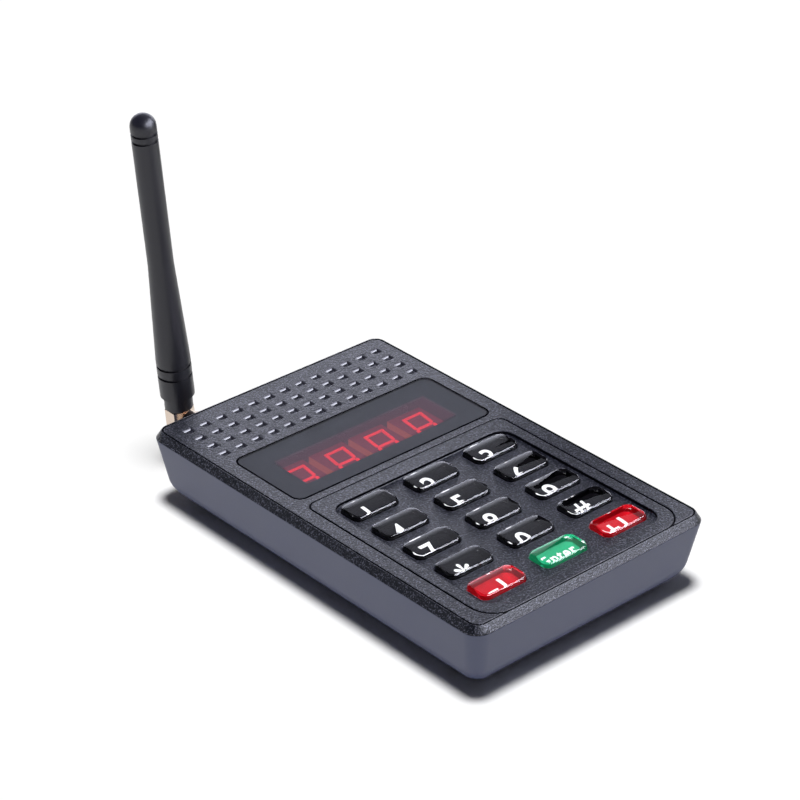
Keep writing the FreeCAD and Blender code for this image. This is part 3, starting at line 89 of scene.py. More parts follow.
camera_data = bpy.data.cameras.new("camera")
camera_data.lens = LENS
camera_data.sensor_width = SENSOR
camera_data.sensor_height = SENSOR
camera_data.clip_start = 0.01
camera = bpy.data.objects.new("camera", camera_data)
turn = Matrix((CAMERA_RIGHT, CAMERA_UP, CAMERA_RIGHT.cross(CAMERA_UP))).transposed().to_4x4()
camera.matrix_world = Matrix.Translation(CAMERA_PLACE) @ turn
scene.collection.objects.link(camera)
scene.camera = camera
scene.view_settings.view_transform = "Standard"
print("camera at", tuple(CAMERA_PLACE))

# %% [markdown]
# ## Node helpers
# Every material and every Geometry Nodes tree below is built in code. Six small helpers keep
# that readable. One adds a node, one joins a value or a socket to an input, one does a step of
# arithmetic and hands back its result socket, and one takes a vector apart. The last two ease a
# value from one range into another and mix two colours by a mask.


# %% Node helpers
def add_node(tree, kind, **settings):
    node = tree.nodes.new(kind)
    for name, value in settings.items():
        setattr(node, name, value)
    return node


def feed(tree, target, value):
    """Joins a socket, or sets a plain value, on an input."""
    if isinstance(value, bpy.types.NodeSocket):
        tree.links.new(value, target)
    else:
        target.default_value = value


def arithmetic(tree, operation, *values):
    node = add_node(tree, "ShaderNodeMath", operation=operation)
    for target, value in zip(node.inputs, values):
        feed(tree, target, value)
    return node.outputs[0]


def separate(tree, vector):
    node = add_node(tree, "ShaderNodeSeparateXYZ")
    feed(tree, node.inputs[0], vector)
    return node.outputs


def ramp(tree, value, source, target):
    node = add_node(tree, "ShaderNodeMapRange", interpolation_type="SMOOTHSTEP")
    feed(tree, node.inputs["Value"], value)
    for label, level in zip(("From Min", "From Max", "To Min", "To Max"), (*source, *target)):
        node.inputs[label].default_value = level
    return node.outputs["Result"]


def mix_tones(tree, mask, first, second):
    mixer = add_node(tree, "ShaderNodeMix", data_type="RGBA")
    feed(tree, mixer.inputs["Factor"], mask)
    mixer.inputs["A"].default_value = (*first, 1)
    mixer.inputs["B"].default_value = (*second, 1)
    return mixer.outputs["Result"]


print("node helpers are ready")

# %% [markdown]
# ## Studio
# A white sweep fills the view, so clear plastic and gold see white wherever they don't see the
# object. The world shows that white to the camera and to glass, and gives only a weak fill to
# rough surfaces. What gloss sees of it is a bright band low behind the box that fades upwards, to
# the left and to the front, as where such a sweep bends up. The crowned keys mirror that band
# along their back edges, and the left rim stays dark.

# %% World
FILL = 0.03
MIRROR_TINT = (0.92, 0.94, 1.10)
BAND_LEVELS = (3.0, 0.5)  # low in the sweep, high in the sweep
BAND_FADE = (0.27, 0.48)  # the heights between which it fades, as parts of a unit direction
LEFT_FADE = (-0.1, 0.4)
FRONT_FADE = (-0.1, 0.3)
SHADE = 0.03  # what is left of the band at the left and in front

world = bpy.data.worlds.new("studio")
world.use_nodes = True
world.cycles.sampling_method = "NONE"
scene.world = world
tree = world.node_tree
path = add_node(tree, "ShaderNodeLightPath")
way = separate(tree, add_node(tree, "ShaderNodeTexCoord").outputs["Generated"])
mirror = ramp(tree, way[2], BAND_FADE, BAND_LEVELS)
for axis, fade in ((0, LEFT_FADE), (1, FRONT_FADE)):
    mirror = arithmetic(tree, "MULTIPLY", mirror, ramp(tree, way[axis], fade, (SHADE, 1.0)))
glossy = path.outputs["Is Glossy Ray"]
seen = arithmetic(tree, "MAXIMUM", path.outputs["Is Camera Ray"], path.outputs["Is Transmission Ray"])
plain = arithmetic(tree, "MULTIPLY_ADD", seen, 1.0 - FILL, FILL)
extra = arithmetic(tree, "SUBTRACT", mirror, plain)
background = tree.nodes["Background"]
feed(tree, background.inputs["Color"], mix_tones(tree, glossy, (1.0, 1.0, 1.0), MIRROR_TINT))
feed(tree, background.inputs["Strength"], arithmetic(tree, "MULTIPLY_ADD", glossy, extra, plain))
print("world fill", FILL)

# %% [markdown]
# ## Floor and lamp
# The floor is a matt white sheet that carries the shadow. The lamp is a sun with a wide disc, so
# the shadow lies under the box and its edge is soft. Gloss doesn't see the lamp, so no white bar
# lies over the figures when the keys are looked at from above.

# %% Floor and lamp
FLOOR_REACH = 4.0
FLOOR_WHITE = (0.97, 0.97, 0.97, 1)
LAMP_STRENGTH = 3.25
LAMP_ANGLE = math.radians(12)
LAMP_SIDE = (-0.07, -0.07, 1)

floor_mesh = bpy.data.meshes.new("floor")
corners = [(x * FLOOR_REACH, y * FLOOR_REACH, 0) for x, y in ((-1, -1), (1, -1), (1, 1), (-1, 1))]
floor_mesh.from_pydata(corners, [], [(0, 1, 2, 3)])
floor = bpy.data.objects.new("floor", floor_mesh)
scene.collection.objects.link(floor)
floor_paint = bpy.data.materials.new("floor_paint")
floor_paint.use_nodes = True
floor_shader = floor_paint.node_tree.nodes["Principled BSDF"]
floor_shader.inputs["Base Color"].default_value = FLOOR_WHITE
floor_shader.inputs["Roughness"].default_value = 1.0
floor_shader.inputs["Specular IOR Level"].default_value = 0.0
floor_mesh.materials.append(floor_paint)
floor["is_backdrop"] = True

lamp_data = bpy.data.lights.new("overhead_lamp", "SUN")
lamp_data.energy = LAMP_STRENGTH
lamp_data.angle = LAMP_ANGLE
lamp = bpy.data.objects.new("overhead_lamp", lamp_data)
lamp.rotation_euler = Vector(LAMP_SIDE).to_track_quat("Z", "Y").to_euler()
lamp.visible_glossy = False
scene.collection.objects.link(lamp)
print("lamp strength", LAMP_STRENGTH)

# %% [markdown]
# ## Softboxes and a flag
# Dark glossy things are lit by what they mirror. A wide softbox in front gives the grain its
# sparkle and the front rim its light, a tall bright strip draws thin lines along small round
# edges, and a black flag cuts a dark wedge out of the right hand keys. Area lamps could do it,
# but they would light the floor as well. These are plain cards that only gloss can see, so they
# change the mirror image and nothing else.


# %% Cards
def facing_corners(centre, target, width, height):
    """The corners of a rectangle that stands at a centre and faces a target."""
    turn = (Vector(target) - Vector(centre)).to_track_quat("Z", "Y")
    flat = ((-1, -1), (1, -1), (1, 1), (-1, 1))
    return [Vector(centre) + turn @ Vector((x * width / 2, y * height / 2, 0)) for x, y in flat]


def studio_card(name, corners, glow):
    """A card that only glossy rays see. A glow of 0 is a black flag."""
    mesh = bpy.data.meshes.new(name)
    mesh.from_pydata(corners, [], [(0, 1, 2, 3)])
    paint = bpy.data.materials.new(name)
    paint.use_nodes = True
    shader = paint.node_tree.nodes["Principled BSDF"]
    shader.inputs["Base Color"].default_value = (0, 0, 0, 1)
    shader.inputs["Specular IOR Level"].default_value = 0.0
    shader.inputs["Emission Color"].default_value = (*MIRROR_TINT, 1)
    shader.inputs["Emission Strength"].default_value = glow
    mesh.materials.append(paint)
    card = bpy.data.objects.new(name, mesh)
    for kind in ("camera", "diffuse", "transmission", "volume_scatter", "shadow"):
        setattr(card, "visible_" + kind, False)
    scene.collection.objects.link(card)
    card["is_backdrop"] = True


KEYPAD_MIDDLE = (0.0, -0.03, 0.024)
SOFTBOX_PLACE, SOFTBOX_SIZE, SOFTBOX_GLOW = (0.20, -0.31, 0.36), (0.75, 0.30), 10.5
STRIP_PLACE, STRIP_SIZE, STRIP_GLOW = (0.41, -0.55, 0.17), (0.12, 0.26), 12.0
FLAG_X = 0.130
FLAG_OUTLINE = ((0.0200, 0.0300), (0.0914, 0.0300), (0.0839, 0.1300), (0.0200, 0.1166))
studio_card("front_softbox", facing_corners(SOFTBOX_PLACE, KEYPAD_MIDDLE, *SOFTBOX_SIZE), SOFTBOX_GLOW)
studio_card("tall_strip", facing_corners(STRIP_PLACE, KEYPAD_MIDDLE, *STRIP_SIZE), STRIP_GLOW)
studio_card("right_flag", [(FLAG_X, y, z) for y, z in FLAG_OUTLINE], 0.0)
print("three cards stand round the keypad")

# %% [markdown]
# ## Grain, as a shader node group
# Moulds for such housings are etched by sparks, which leaves fine shallow pits that break up the
# gloss. More than one plastic here has it, at different depths, so it is a node group with named
# inputs. It puts out a height for a Bump node, a mask for small changes of colour, and a mask of
# the crests, where a finish can paint a lighter tone as sparkle: a painted highlight.


# %% Grain group
USUAL_SIZE = 0.0004
USUAL_COARSE = 0.5
PAINTED_SPARKLE_RANGE = (0.54, 0.66)
PIT_SHARE, FINE_SHARE, CLOUD_SHARE, CREST_SHARE = 1.0, 1.7, 0.02, 1.15  # 1 is one pit per size


def build_grain():
    group = bpy.data.node_groups.new("moulded_grain", "ShaderNodeTree")
    face = group.interface
    for label, usual in (("Size", USUAL_SIZE), ("Coarse Share", USUAL_COARSE)):
        face.new_socket(label, in_out="INPUT", socket_type="NodeSocketFloat").default_value = usual
    for label in ("Height", "Mask", "Speck"):
        face.new_socket(label, in_out="OUTPUT", socket_type="NodeSocketFloat")
    entry = add_node(group, "NodeGroupInput")
    result = add_node(group, "NodeGroupOutput")
    place = add_node(group, "ShaderNodeTexCoord").outputs["Object"]
    scale = arithmetic(group, "DIVIDE", 1.0, entry.outputs["Size"])
    pits = add_node(group, "ShaderNodeTexVoronoi", feature="SMOOTH_F1")
    fine = add_node(group, "ShaderNodeTexNoise")
    cloud = add_node(group, "ShaderNodeTexNoise")
    crests = add_node(group, "ShaderNodeTexNoise")
    fine.inputs["Detail"].default_value = 3.0
    crests.inputs["Detail"].default_value = 1.0
    shares = ((pits, PIT_SHARE), (fine, FINE_SHARE), (cloud, CLOUD_SHARE), (crests, CREST_SHARE))
    for texture, share in shares:
        feed(group, texture.inputs["Vector"], place)
        feed(group, texture.inputs["Scale"], arithmetic(group, "MULTIPLY", scale, share))
    coarse = arithmetic(group, "MULTIPLY", pits.outputs["Distance"], entry.outputs["Coarse Share"])
    height = arithmetic(group, "ADD", coarse, fine.outputs["Fac"])
    feed(group, result.inputs["Height"], height)
    feed(group, result.inputs["Mask"], cloud.outputs["Fac"])
    # The crest mask carries the lighter tone that a finish paints on as sparkle, a painted highlight.
    feed(group, result.inputs["Speck"], ramp(group, crests.outputs["Fac"], PAINTED_SPARKLE_RANGE, (0.0, 1.0)))
    return group


grain = build_grain()
print("grain group has", len(grain.nodes), "nodes")

# %% [markdown]
# ## A maker for plastics and metals
# One maker covers most finishes: a Principled shader, a colour that drifts a little between two
# close tones, a roughness that does the same, and the grain as bump.


# %% Finish maker
def make_finish(name, first, second, rough, size=USUAL_SIZE, depth=0.00002, coarse=USUAL_COARSE,
                tone="Mask", **constants):
    """A finish with a drifting tone, a drifting gloss (rough = low, high) and moulded grain.

    Constants are set on the shader, with underscores for the spaces in an input's name.
    """
    material = bpy.data.materials.new(name)
    material.use_nodes = True
    tree = material.node_tree
    shader = tree.nodes["Principled BSDF"]
    texture = add_node(tree, "ShaderNodeGroup", node_tree=grain)
    texture.inputs["Size"].default_value = size
    texture.inputs["Coarse Share"].default_value = coarse
    mask = texture.outputs["Mask"]
    feed(tree, shader.inputs["Base Color"], mix_tones(tree, texture.outputs[tone], first, second))
    gloss = arithmetic(tree, "MULTIPLY_ADD", mask, rough[1] - rough[0], rough[0])
    feed(tree, shader.inputs["Roughness"], gloss)
    bump = add_node(tree, "ShaderNodeBump")
    bump.inputs["Distance"].default_value = depth
    feed(tree, bump.inputs["Height"], texture.outputs["Height"])
    feed(tree, shader.inputs["Normal"], bump.outputs["Normal"])
    for label, value in constants.items():
        shader.inputs[label.replace("_", " ")].default_value = value
    return material


print("finish maker is ready")

# %% [markdown]
# ## The plastics
# Each call gives the numbers of one real finish: two tones, a range of roughness, the size of the
# grain and the depth of its bump. On the cover the second tone is a painted highlight on the
# crests, so the grain sparkles in colour and not only in relief.

# %% Plastics
case_satin = make_finish(
    "case_satin", (0.059, 0.068, 0.133), (0.065, 0.075, 0.144), (0.42, 0.5), 0.0003, depth=0.000008,
)
# The light second tone sits on the grain's crests: painted sparkle, a painted highlight.
cover_grain = make_finish(
    "cover_grain", (0.004, 0.005, 0.010), (0.100, 0.104, 0.142), (0.26, 0.34), 0.0005, depth=0.00010,
    coarse=1.0, tone="Speck", Specular_IOR_Level=0.45,
)
dimple_gloss = make_finish(
    "dimple_gloss", (0.020, 0.020, 0.030), (0.026, 0.026, 0.038), (0.12, 0.18), 0.0005, depth=0.0,
    Specular_IOR_Level=1.0,
)
# Painted shade: a black finish for the narrow walls of grooves and steps, where shade falls.
groove_black = make_finish(
    "groove_black", (0.004, 0.004, 0.006), (0.007, 0.007, 0.010), (0.5, 0.6), 0.0005, depth=0.0,
    Specular_IOR_Level=0.0,
)
window_film = make_finish(
    "window_film", (0.062, 0.071, 0.076), (0.065, 0.074, 0.079), (0.8, 0.9), 0.002, depth=0.0,
    Specular_IOR_Level=0.0,
)
switch_black = make_finish("switch_black", (0.014, 0.014, 0.015), (0.020, 0.020, 0.022), (0.4, 0.5))
component_black = make_finish("component_black", (0.010, 0.010, 0.011), (0.016, 0.016, 0.017), (0.45, 0.6))
foot_rubber = make_finish("foot_rubber", (0.016, 0.016, 0.017), (0.022, 0.022, 0.024), (0.7, 0.85), 0.0006)
whip_rubber = make_finish("whip_rubber", (0.013, 0.013, 0.022), (0.016, 0.016, 0.027), (0.32, 0.42), 0.0005)
board_green = make_finish("board_green", (0.008, 0.085, 0.030), (0.014, 0.120, 0.045), (0.25, 0.4), 0.002)
lead_jacket = make_finish("lead_jacket", (0.075, 0.042, 0.020), (0.095, 0.055, 0.027), (0.3, 0.4))
print(len(bpy.data.materials), "materials so far")

# %% [markdown]
# ## Metals
# Metals use the same maker with Metallic at 1, and their colour is the colour of their mirror
# image. The gold on the plug is pale, as on thin plating over nickel.


# %% Metals
def make_metal(name, first, second, rough, size):
    return make_finish(name, first, second, rough, size, Metallic=1.0)


screw_steel = make_metal("screw_steel", (0.50, 0.50, 0.51), (0.60, 0.60, 0.60), (0.25, 0.4), 0.0008)
shield_tin = make_metal("shield_tin", (0.56, 0.56, 0.55), (0.66, 0.66, 0.64), (0.3, 0.45), 0.0015)
can_metal = make_metal("can_metal", (0.66, 0.66, 0.68), (0.74, 0.74, 0.75), (0.25, 0.35), 0.001)
spring_wire = make_metal("spring_wire", (0.66, 0.46, 0.22), (0.74, 0.54, 0.28), (0.25, 0.35), 0.001)
gold_plate = make_metal("gold_plate", (0.62, 0.51, 0.42), (0.70, 0.58, 0.49), (0.16, 0.24), 0.0009)
print("metals:", screw_steel.name, shield_tin.name, can_metal.name, spring_wire.name, gold_plate.name)

# %% [markdown]
# ## Clear plastic that lets the lamp through
# The keys are cast blocks of clear plastic. Cycles treats light through glass as a caustic,
# which a short render can't find, so the figures under the keys would go dark. The usual remedy
# stays in the material: for rays that only ask whether a lamp is in sight, the block is plainly
# transparent.


# %% Maker for clear plastic
CLEAR_INDEX = 1.49
CLEAR_CLOUDS = 0.002
CLEAR_LIFT = 1.04
CLEAR_DRIFT = 0.01


def make_clear(name, tint, roughness, shade, field=None):
    """Clear plastic with a tint, and the tint of the light that it lets through.

    A field is a box (low, high) where the plastic gets another tint and a faint glow, painted light that
    stands for the haze of lit segments under it.
    """
    material = bpy.data.materials.new(name)
    material.use_nodes = True
    tree = material.node_tree
    shader = tree.nodes["Principled BSDF"]
    texture = add_node(tree, "ShaderNodeGroup", node_tree=grain)
    texture.inputs["Size"].default_value = CLEAR_CLOUDS
    mask = texture.outputs["Mask"]
    lighter = tuple(min(1.0, part * CLEAR_LIFT) for part in tint)
    colour = mix_tones(tree, mask, tint, lighter)
    if field:
        # Painted light: the field's tint and glow stand for the haze of the lit segments.
        spot = separate(tree, add_node(tree, "ShaderNodeTexCoord").outputs["Object"])
        low, high, painted_haze_tint, glow, strength = field
        inside = 1.0
        for axis in (0, 1):
            middle, half = (low[axis] + high[axis]) / 2, (high[axis] - low[axis]) / 2
            within = arithmetic(tree, "COMPARE", spot[axis], middle, half)
            inside = arithmetic(tree, "MULTIPLY", within, inside)
        painted_haze_mix = add_node(tree, "ShaderNodeMix", data_type="RGBA")
        for label, value in (("Factor", inside), ("A", colour), ("B", (*painted_haze_tint, 1))):
            feed(tree, painted_haze_mix.inputs[label], value)
        colour = painted_haze_mix.outputs["Result"]
        shader.inputs["Emission Color"].default_value = (*glow, 1)
        feed(tree, shader.inputs["Emission Strength"], arithmetic(tree, "MULTIPLY", inside, strength))
    feed(tree, shader.inputs["Base Color"], colour)
    feed(tree, shader.inputs["Roughness"], arithmetic(tree, "MULTIPLY_ADD", mask, CLEAR_DRIFT, roughness))
    shader.inputs["IOR"].default_value = CLEAR_INDEX
    shader.inputs["Transmission Weight"].default_value = 1.0
    path = add_node(tree, "ShaderNodeLightPath")
    through = add_node(tree, "ShaderNodeBsdfTransparent")
    through.inputs["Color"].default_value = (*shade, 1)
    chooser = add_node(tree, "ShaderNodeMixShader")
    feed(tree, chooser.inputs[0], path.outputs["Is Shadow Ray"])
    feed(tree, chooser.inputs[1], shader.outputs["BSDF"])
    feed(tree, chooser.inputs[2], through.outputs["BSDF"])
    feed(tree, tree.nodes["Material Output"].inputs["Surface"], chooser.outputs["Shader"])
    return material


print("maker for clear plastic is ready")

# %% [markdown]
# ## Clear keys and a smoked window
# The keys are almost colourless. The window is smoked, and where the film under it leaves the
# display free, the plate has a painted redder tint and a painted faint glow of its own. Both stand
# for the haze that the lit segments make. The edges of that field are read from the points of the
# film that lie well inside its outline.

# %% Clear materials
OPENING_MARGIN = 0.002

key_clear = make_clear("key_clear", (0.96, 0.96, 0.98), 0.01, (0.92, 0.92, 0.94))
mask_low, mask_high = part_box("window_mask")
opening = [
    vertex.co for vertex in nodes["window_mask"].data.vertices
    if all(
        mask_low[axis] + OPENING_MARGIN < vertex.co[axis] < mask_high[axis] - OPENING_MARGIN
        for axis in (0, 1)
    )
]
field_low = (min(spot.x for spot in opening), min(spot.y for spot in opening))
field_high = (max(spot.x for spot in opening), max(spot.y for spot in opening))
print("clear field of the window", field_low, field_high)
# The field of the plate gets a painted red haze: a redder tint and a faint glow.
window_smoke = make_clear(
    "window_smoke", (0.60, 0.57, 0.66), 0.02, (0.35, 0.33, 0.38),
    (field_low, field_high, (0.52, 0.30, 0.36), (1.0, 0.62, 0.90), 0.036),
)
print("clear materials:", key_clear.name, window_smoke.name)

# %% [markdown]
# ## Glowing segments
# The display is a row of red modules whose segments all light up. The light that strays inside a
# module is a painted glow, deep red on its top and orange on its side walls, seen in the gaps.


# %% Glowing segments
DRIFT_SCALE = 900.0
DRIFT_LIFT = 1.25


def make_glow(name, colour, strength):
    material = bpy.data.materials.new(name)
    material.use_nodes = True
    tree = material.node_tree
    shader = tree.nodes["Principled BSDF"]
    shader.inputs["Base Color"].default_value = (*colour, 1)
    shader.inputs["Roughness"].default_value = 0.35
    drift = add_node(tree, "ShaderNodeTexNoise")
    drift.inputs["Scale"].default_value = DRIFT_SCALE
    feed(tree, drift.inputs["Vector"], add_node(tree, "ShaderNodeTexCoord").outputs["Object"])
    brighter = tuple(min(1.0, part * DRIFT_LIFT) for part in colour)
    bright = mix_tones(tree, drift.outputs["Fac"], colour, brighter)
    feed(tree, shader.inputs["Emission Color"], bright)
    shader.inputs["Emission Strength"].default_value = strength
    return material


def painted_glow_walls(material, top, side, strength):
    """Paints a faint glow onto a finish, in one colour on level faces and in another on upright ones."""
    tree = material.node_tree
    shader = tree.nodes["Principled BSDF"]
    facing = separate(tree, add_node(tree, "ShaderNodeNewGeometry").outputs["True Normal"])
    upright = arithmetic(tree, "SUBTRACT", 1.0, arithmetic(tree, "ABSOLUTE", facing[2]))
    feed(tree, shader.inputs["Emission Color"], mix_tones(tree, upright, top, side))
    shader.inputs["Emission Strength"].default_value = strength


segment_glow = make_glow("segment_glow", (0.80, 0.014, 0.026), 0.85)
digit_block = make_finish(
    "digit_block", (0.020, 0.008, 0.010), (0.026, 0.010, 0.013), (0.5, 0.6), 0.001, depth=0.0,
)
# Painted glow on the module blocks, deep red on top and orange on the walls.
painted_glow_walls(digit_block, (0.42, 0.004, 0.05), (1.0, 0.26, 0.12), 0.36)
print("glow:", segment_glow.name, digit_block.name)

# %% [markdown]
# ## Tools for the shells
# A CAD mesh comes as many thin triangles. These helpers join its flat facets again, round or
# shade the edges that are left, and put the finished mesh in the scene.


# %% Shell maker
DOUBLE_REACH = 2e-6
FLAT_ANGLE = math.radians(0.6)
SHARP_DEGREES = 30
FLAT_AREA = 3e-5


def link_piece(name, mesh, material, body, slot, *replaced):
    """Puts a finished mesh in the scene with its material, riding on its body, and hides the CAD parts that
    it stands for. The slot is not used.
    """
    piece = bpy.data.objects.new(name, mesh)
    scene.collection.objects.link(piece)
    mesh.materials.clear()
    mesh.materials.append(material)
    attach(piece, body)
    if replaced:
        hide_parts(*replaced)
    return piece


def shade_by_angle(mesh):
    mesh.shade_smooth()
    shaped = bmesh.new()
    shaped.from_mesh(mesh)
    for edge in shaped.edges:
        edge.smooth = edge.calc_face_angle(0.0) < math.radians(SHARP_DEGREES)
    shaped.to_mesh(mesh)
    shaped.free()


def joined_copy(node, name):
    """A copy of a CAD mesh with its doubles merged and its flat facets joined."""
    shaped = bmesh.new()
    shaped.from_mesh(nodes[node].data)
    bmesh.ops.remove_doubles(shaped, verts=shaped.verts, dist=DOUBLE_REACH)
    bmesh.ops.dissolve_limit(shaped, angle_limit=FLAT_ANGLE, verts=shaped.verts, edges=shaped.edges)
    mesh = bpy.data.meshes.new(name)
    shaped.to_mesh(mesh)
    shaped.free()
    return mesh


def bevelled(mesh, width):
    """The mesh after a Bevel modifier on its sharper edges. Large faces stay flat shaded."""
    helper = bpy.data.objects.new("helper", mesh)
    scene.collection.objects.link(helper)
    modifier = helper.modifiers.new("edge_round", "BEVEL")
    modifier.width = width
    modifier.segments = 2
    modifier.limit_method = "ANGLE"
    modifier.angle_limit = math.radians(SHARP_DEGREES)
    modifier.use_clamp_overlap = False
    evaluated = helper.evaluated_get(bpy.context.evaluated_depsgraph_get())
    result = bpy.data.meshes.new_from_object(evaluated)
    bpy.data.objects.remove(helper)
    for face in result.polygons:
        face.use_smooth = face.area < FLAT_AREA
    return result


print("tools for the shells are ready")

# %% [markdown]
# ## Shells with softened edges
# The CAD solids of the cover and the case have knife edges. Moulded plastic never has them: each
# edge is a small round that catches a thin line of light. A Bevel modifier rounds the cover. The
# case is already round underneath, so smooth shading over its shallow edges is enough.

# %% Shells
COVER_ROUND = 0.00016
cover_mesh = bevelled(joined_copy("top_cover", "cover_raw"), COVER_ROUND)
cover_mesh.name = "cover_shell"
link_piece("cover_shell", cover_mesh, cover_grain, "housing", "cover_plastic", "top_cover")

case_mesh = joined_copy("bottom_case", "case_raw")
shade_by_angle(case_mesh)
link_piece("case_shell", case_mesh, case_satin, "housing", "case_plastic", "bottom_case")
print("cover", len(cover_mesh.polygons), "faces, case", len(case_mesh.polygons), "faces")

# %% [markdown]
# ## Dimples, grooves and steps
# The cover is one moulding, but its small walls look different from its deck. The dimple walls
# come from polished pins, so they are glossy. The grooves, the edge of the window and the step of
# the keypad are narrow and have to look dark, but with the cover's own finish their walls would
# mirror the softbox at a slant. So they get a plain black finish, which is painted shade on the
# cover's own plastic. Faces are picked by how far they lie under the deck and by how much they face
# upwards.

# %% Small walls of the cover
DIMPLE_FIELD = 0.038
FIELD_FRONT = 0.002  # behind the window
FIELD_BACK = 0.020  # in front of the rearmost point of the part
WALL_DEPTHS = (0.00001, 0.0016)
GROOVE_DEPTHS = (0.0006, 0.0009)
WINDOW_MARGIN = 0.0006
OVERHANG, UPRIGHT, LEVEL, QUITE_LEVEL = 0.01, 0.3, 0.9, 0.97

DECK_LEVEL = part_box("top_cover")[1].z
pane_low, pane_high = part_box("display_window")
field_ys = (pane_high.y + FIELD_FRONT, cad_high.y - FIELD_BACK)
cover_mesh.materials.append(dimple_gloss)
cover_mesh.materials.append(groove_black)
wall_counts = [0, 0, 0]
for face in cover_mesh.polygons:
    spot, rise = face.center, face.normal.z
    depth = DECK_LEVEL - spot.z
    if not WALL_DEPTHS[0] < depth < WALL_DEPTHS[1]:
        continue
    in_field = abs(spot.x) < DIMPLE_FIELD and field_ys[0] < spot.y < field_ys[1]
    by_window = all(
        pane_low[axis] - WINDOW_MARGIN < spot[axis] < pane_high[axis] + WINDOW_MARGIN
        for axis in (0, 1)
    )
    on_groove_floor = GROOVE_DEPTHS[0] < depth < GROOVE_DEPTHS[1] and rise > LEVEL
    in_groove = abs(rise) < UPRIGHT or on_groove_floor
    if in_field:
        face.material_index = 1 if OVERHANG < rise < LEVEL else 0
    # Walls of grooves, steps and the window edge get the black finish: painted shade.
    elif in_groove or (by_window and rise < QUITE_LEVEL):
        face.material_index = 2
    wall_counts[face.material_index] += 1
print("faces in the grain, in dimples and in grooves:", wall_counts)

# %% [markdown]
# ## Gloss of the dimples
# Where a dimple meets the deck its wall takes over the dull grain, so its gloss is eased by
# height. The glossy part below draws a short dash of light, and the dull rim doesn't.

# %% Gloss of the dimples
DULL_DEPTHS = (0.00050, 0.00020)
DULL_LEVELS = (0.14, 0.60)

tree = dimple_gloss.node_tree
height = separate(tree, add_node(tree, "ShaderNodeTexCoord").outputs["Object"])[2]
dull_heights = [DECK_LEVEL - depth for depth in DULL_DEPTHS]
dulled = ramp(tree, height, dull_heights, DULL_LEVELS)
feed(tree, tree.nodes["Principled BSDF"].inputs["Roughness"], dulled)
print("dimples are dull down to", DULL_DEPTHS[1], "m under the deck")

# %% [markdown]
# ## Window plate
# The plate is glued on its printed film, so its underside is let a hair into the film. Two faces
# in exactly the same place would flicker. The chamfer and the walls of the plate get the black
# finish too, as painted shade that gives the window its thin dark outline.

# %% Window plate
GLUE = 0.00004
UNDERSIDE_REACH = 0.0001
window_mesh = joined_copy("display_window", "window_plate")
window_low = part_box("display_window")[0].z
for vertex in window_mesh.vertices:
    if vertex.co.z < window_low + UNDERSIDE_REACH:
        vertex.co.z -= GLUE
window_mesh.shade_flat()
link_piece("window_plate", window_mesh, window_smoke, "housing", "window_tint", "display_window")
window_mesh.materials.append(groove_black)
# The chamfer and walls of the plate take the black finish as painted shade.
for face in window_mesh.polygons:
    face.material_index = 0 if abs(face.normal.z) > LEVEL else 1
print("window plate has", len(window_mesh.polygons), "faces")

# %% [markdown]
# ## A moulded block, as Geometry Nodes
# The clear keys all follow one rule: a rounded rectangle, straight walls, a round top edge and a
# slightly crowned top. The tree takes the outline of a filleted rectangle, sends a grid round it
# and moves each row of the grid to its place on the profile. Sizes are named inputs, so the same
# tree serves every key.
#
# The rows of the grid go up the block. Row 0 is the middle of the foot, row 1 the edge of the
# foot, row 2 the top of the part that is a hair wider, and row 3 the straight wall. After that
# come the rows of the round edge and then the rows of the crown, which end in the middle.

# %% Outline and grid of a block
AROUND_CORNER = 10
WALL_ROWS = 3
EDGE_STEPS = 6
CROWN_STEPS = 8
OUTLINE_POINTS = 4 * (AROUND_CORNER + 1)
GRID_ROWS = WALL_ROWS + EDGE_STEPS + CROWN_STEPS + 1


def vector_math(tree, operation, *values):
    node = add_node(tree, "ShaderNodeVectorMath", operation=operation)
    for target, value in zip(node.inputs, values):
        feed(tree, target, value)
    return node.outputs[0]


def combine(tree, x=0.0, y=0.0, z=0.0):
    node = add_node(tree, "ShaderNodeCombineXYZ")
    for target, value in zip(node.inputs, (x, y, z)):
        feed(tree, target, value)
    return node.outputs[0]


def add_outline(tree, entry):
    """A rectangle with filleted corners. Its points are the places that the grid's columns take."""
    outline = add_node(tree, "GeometryNodeCurvePrimitiveQuadrilateral", mode="RECTANGLE")
    feed(tree, outline.inputs["Width"], entry["Width"])
    feed(tree, outline.inputs["Height"], entry["Length"])
    fillet = add_node(tree, "GeometryNodeFilletCurve", mode="POLY")
    feed(tree, fillet.inputs["Curve"], outline.outputs["Curve"])
    feed(tree, fillet.inputs["Radius"], entry["Corner"])
    feed(tree, fillet.inputs["Count"], AROUND_CORNER)
    return fillet.outputs["Curve"]


def add_grid(tree, points, rows):
    """A grid, with the number of the column and of the row that each of its points is in."""
    grid = add_node(tree, "GeometryNodeMeshGrid")
    counts = (("Size X", 1.0), ("Size Y", 1.0), ("Vertices X", points + 1), ("Vertices Y", rows))
    for label, value in counts:
        feed(tree, grid.inputs[label], value)
    spot = separate(tree, add_node(tree, "GeometryNodeInputPosition").outputs[0])
    column = arithmetic(tree, "MULTIPLY_ADD", spot[0], float(points), points / 2)
    column = arithmetic(tree, "MODULO", arithmetic(tree, "ROUND", column), float(points))
    row = arithmetic(tree, "ROUND", arithmetic(tree, "MULTIPLY_ADD", spot[1], rows - 1.0, (rows - 1) / 2))
    return grid.outputs["Mesh"], column, row


print("grid of", OUTLINE_POINTS, "points round and", GRID_ROWS, "rows up")

# %% [markdown]
# ## Profile of the block
# Each point of the outline has a centre, that of its rounded corner, and a way outwards from it.
# How far a point lies from that centre, and how high, depends on its row alone. The wall is
# straight, the edge is a quarter of a circle, and the crown shrinks to the middle.


# %% Profile of a block
def clamped(tree, value):
    return arithmetic(tree, "MINIMUM", arithmetic(tree, "MAXIMUM", value, 0.0), 1.0)


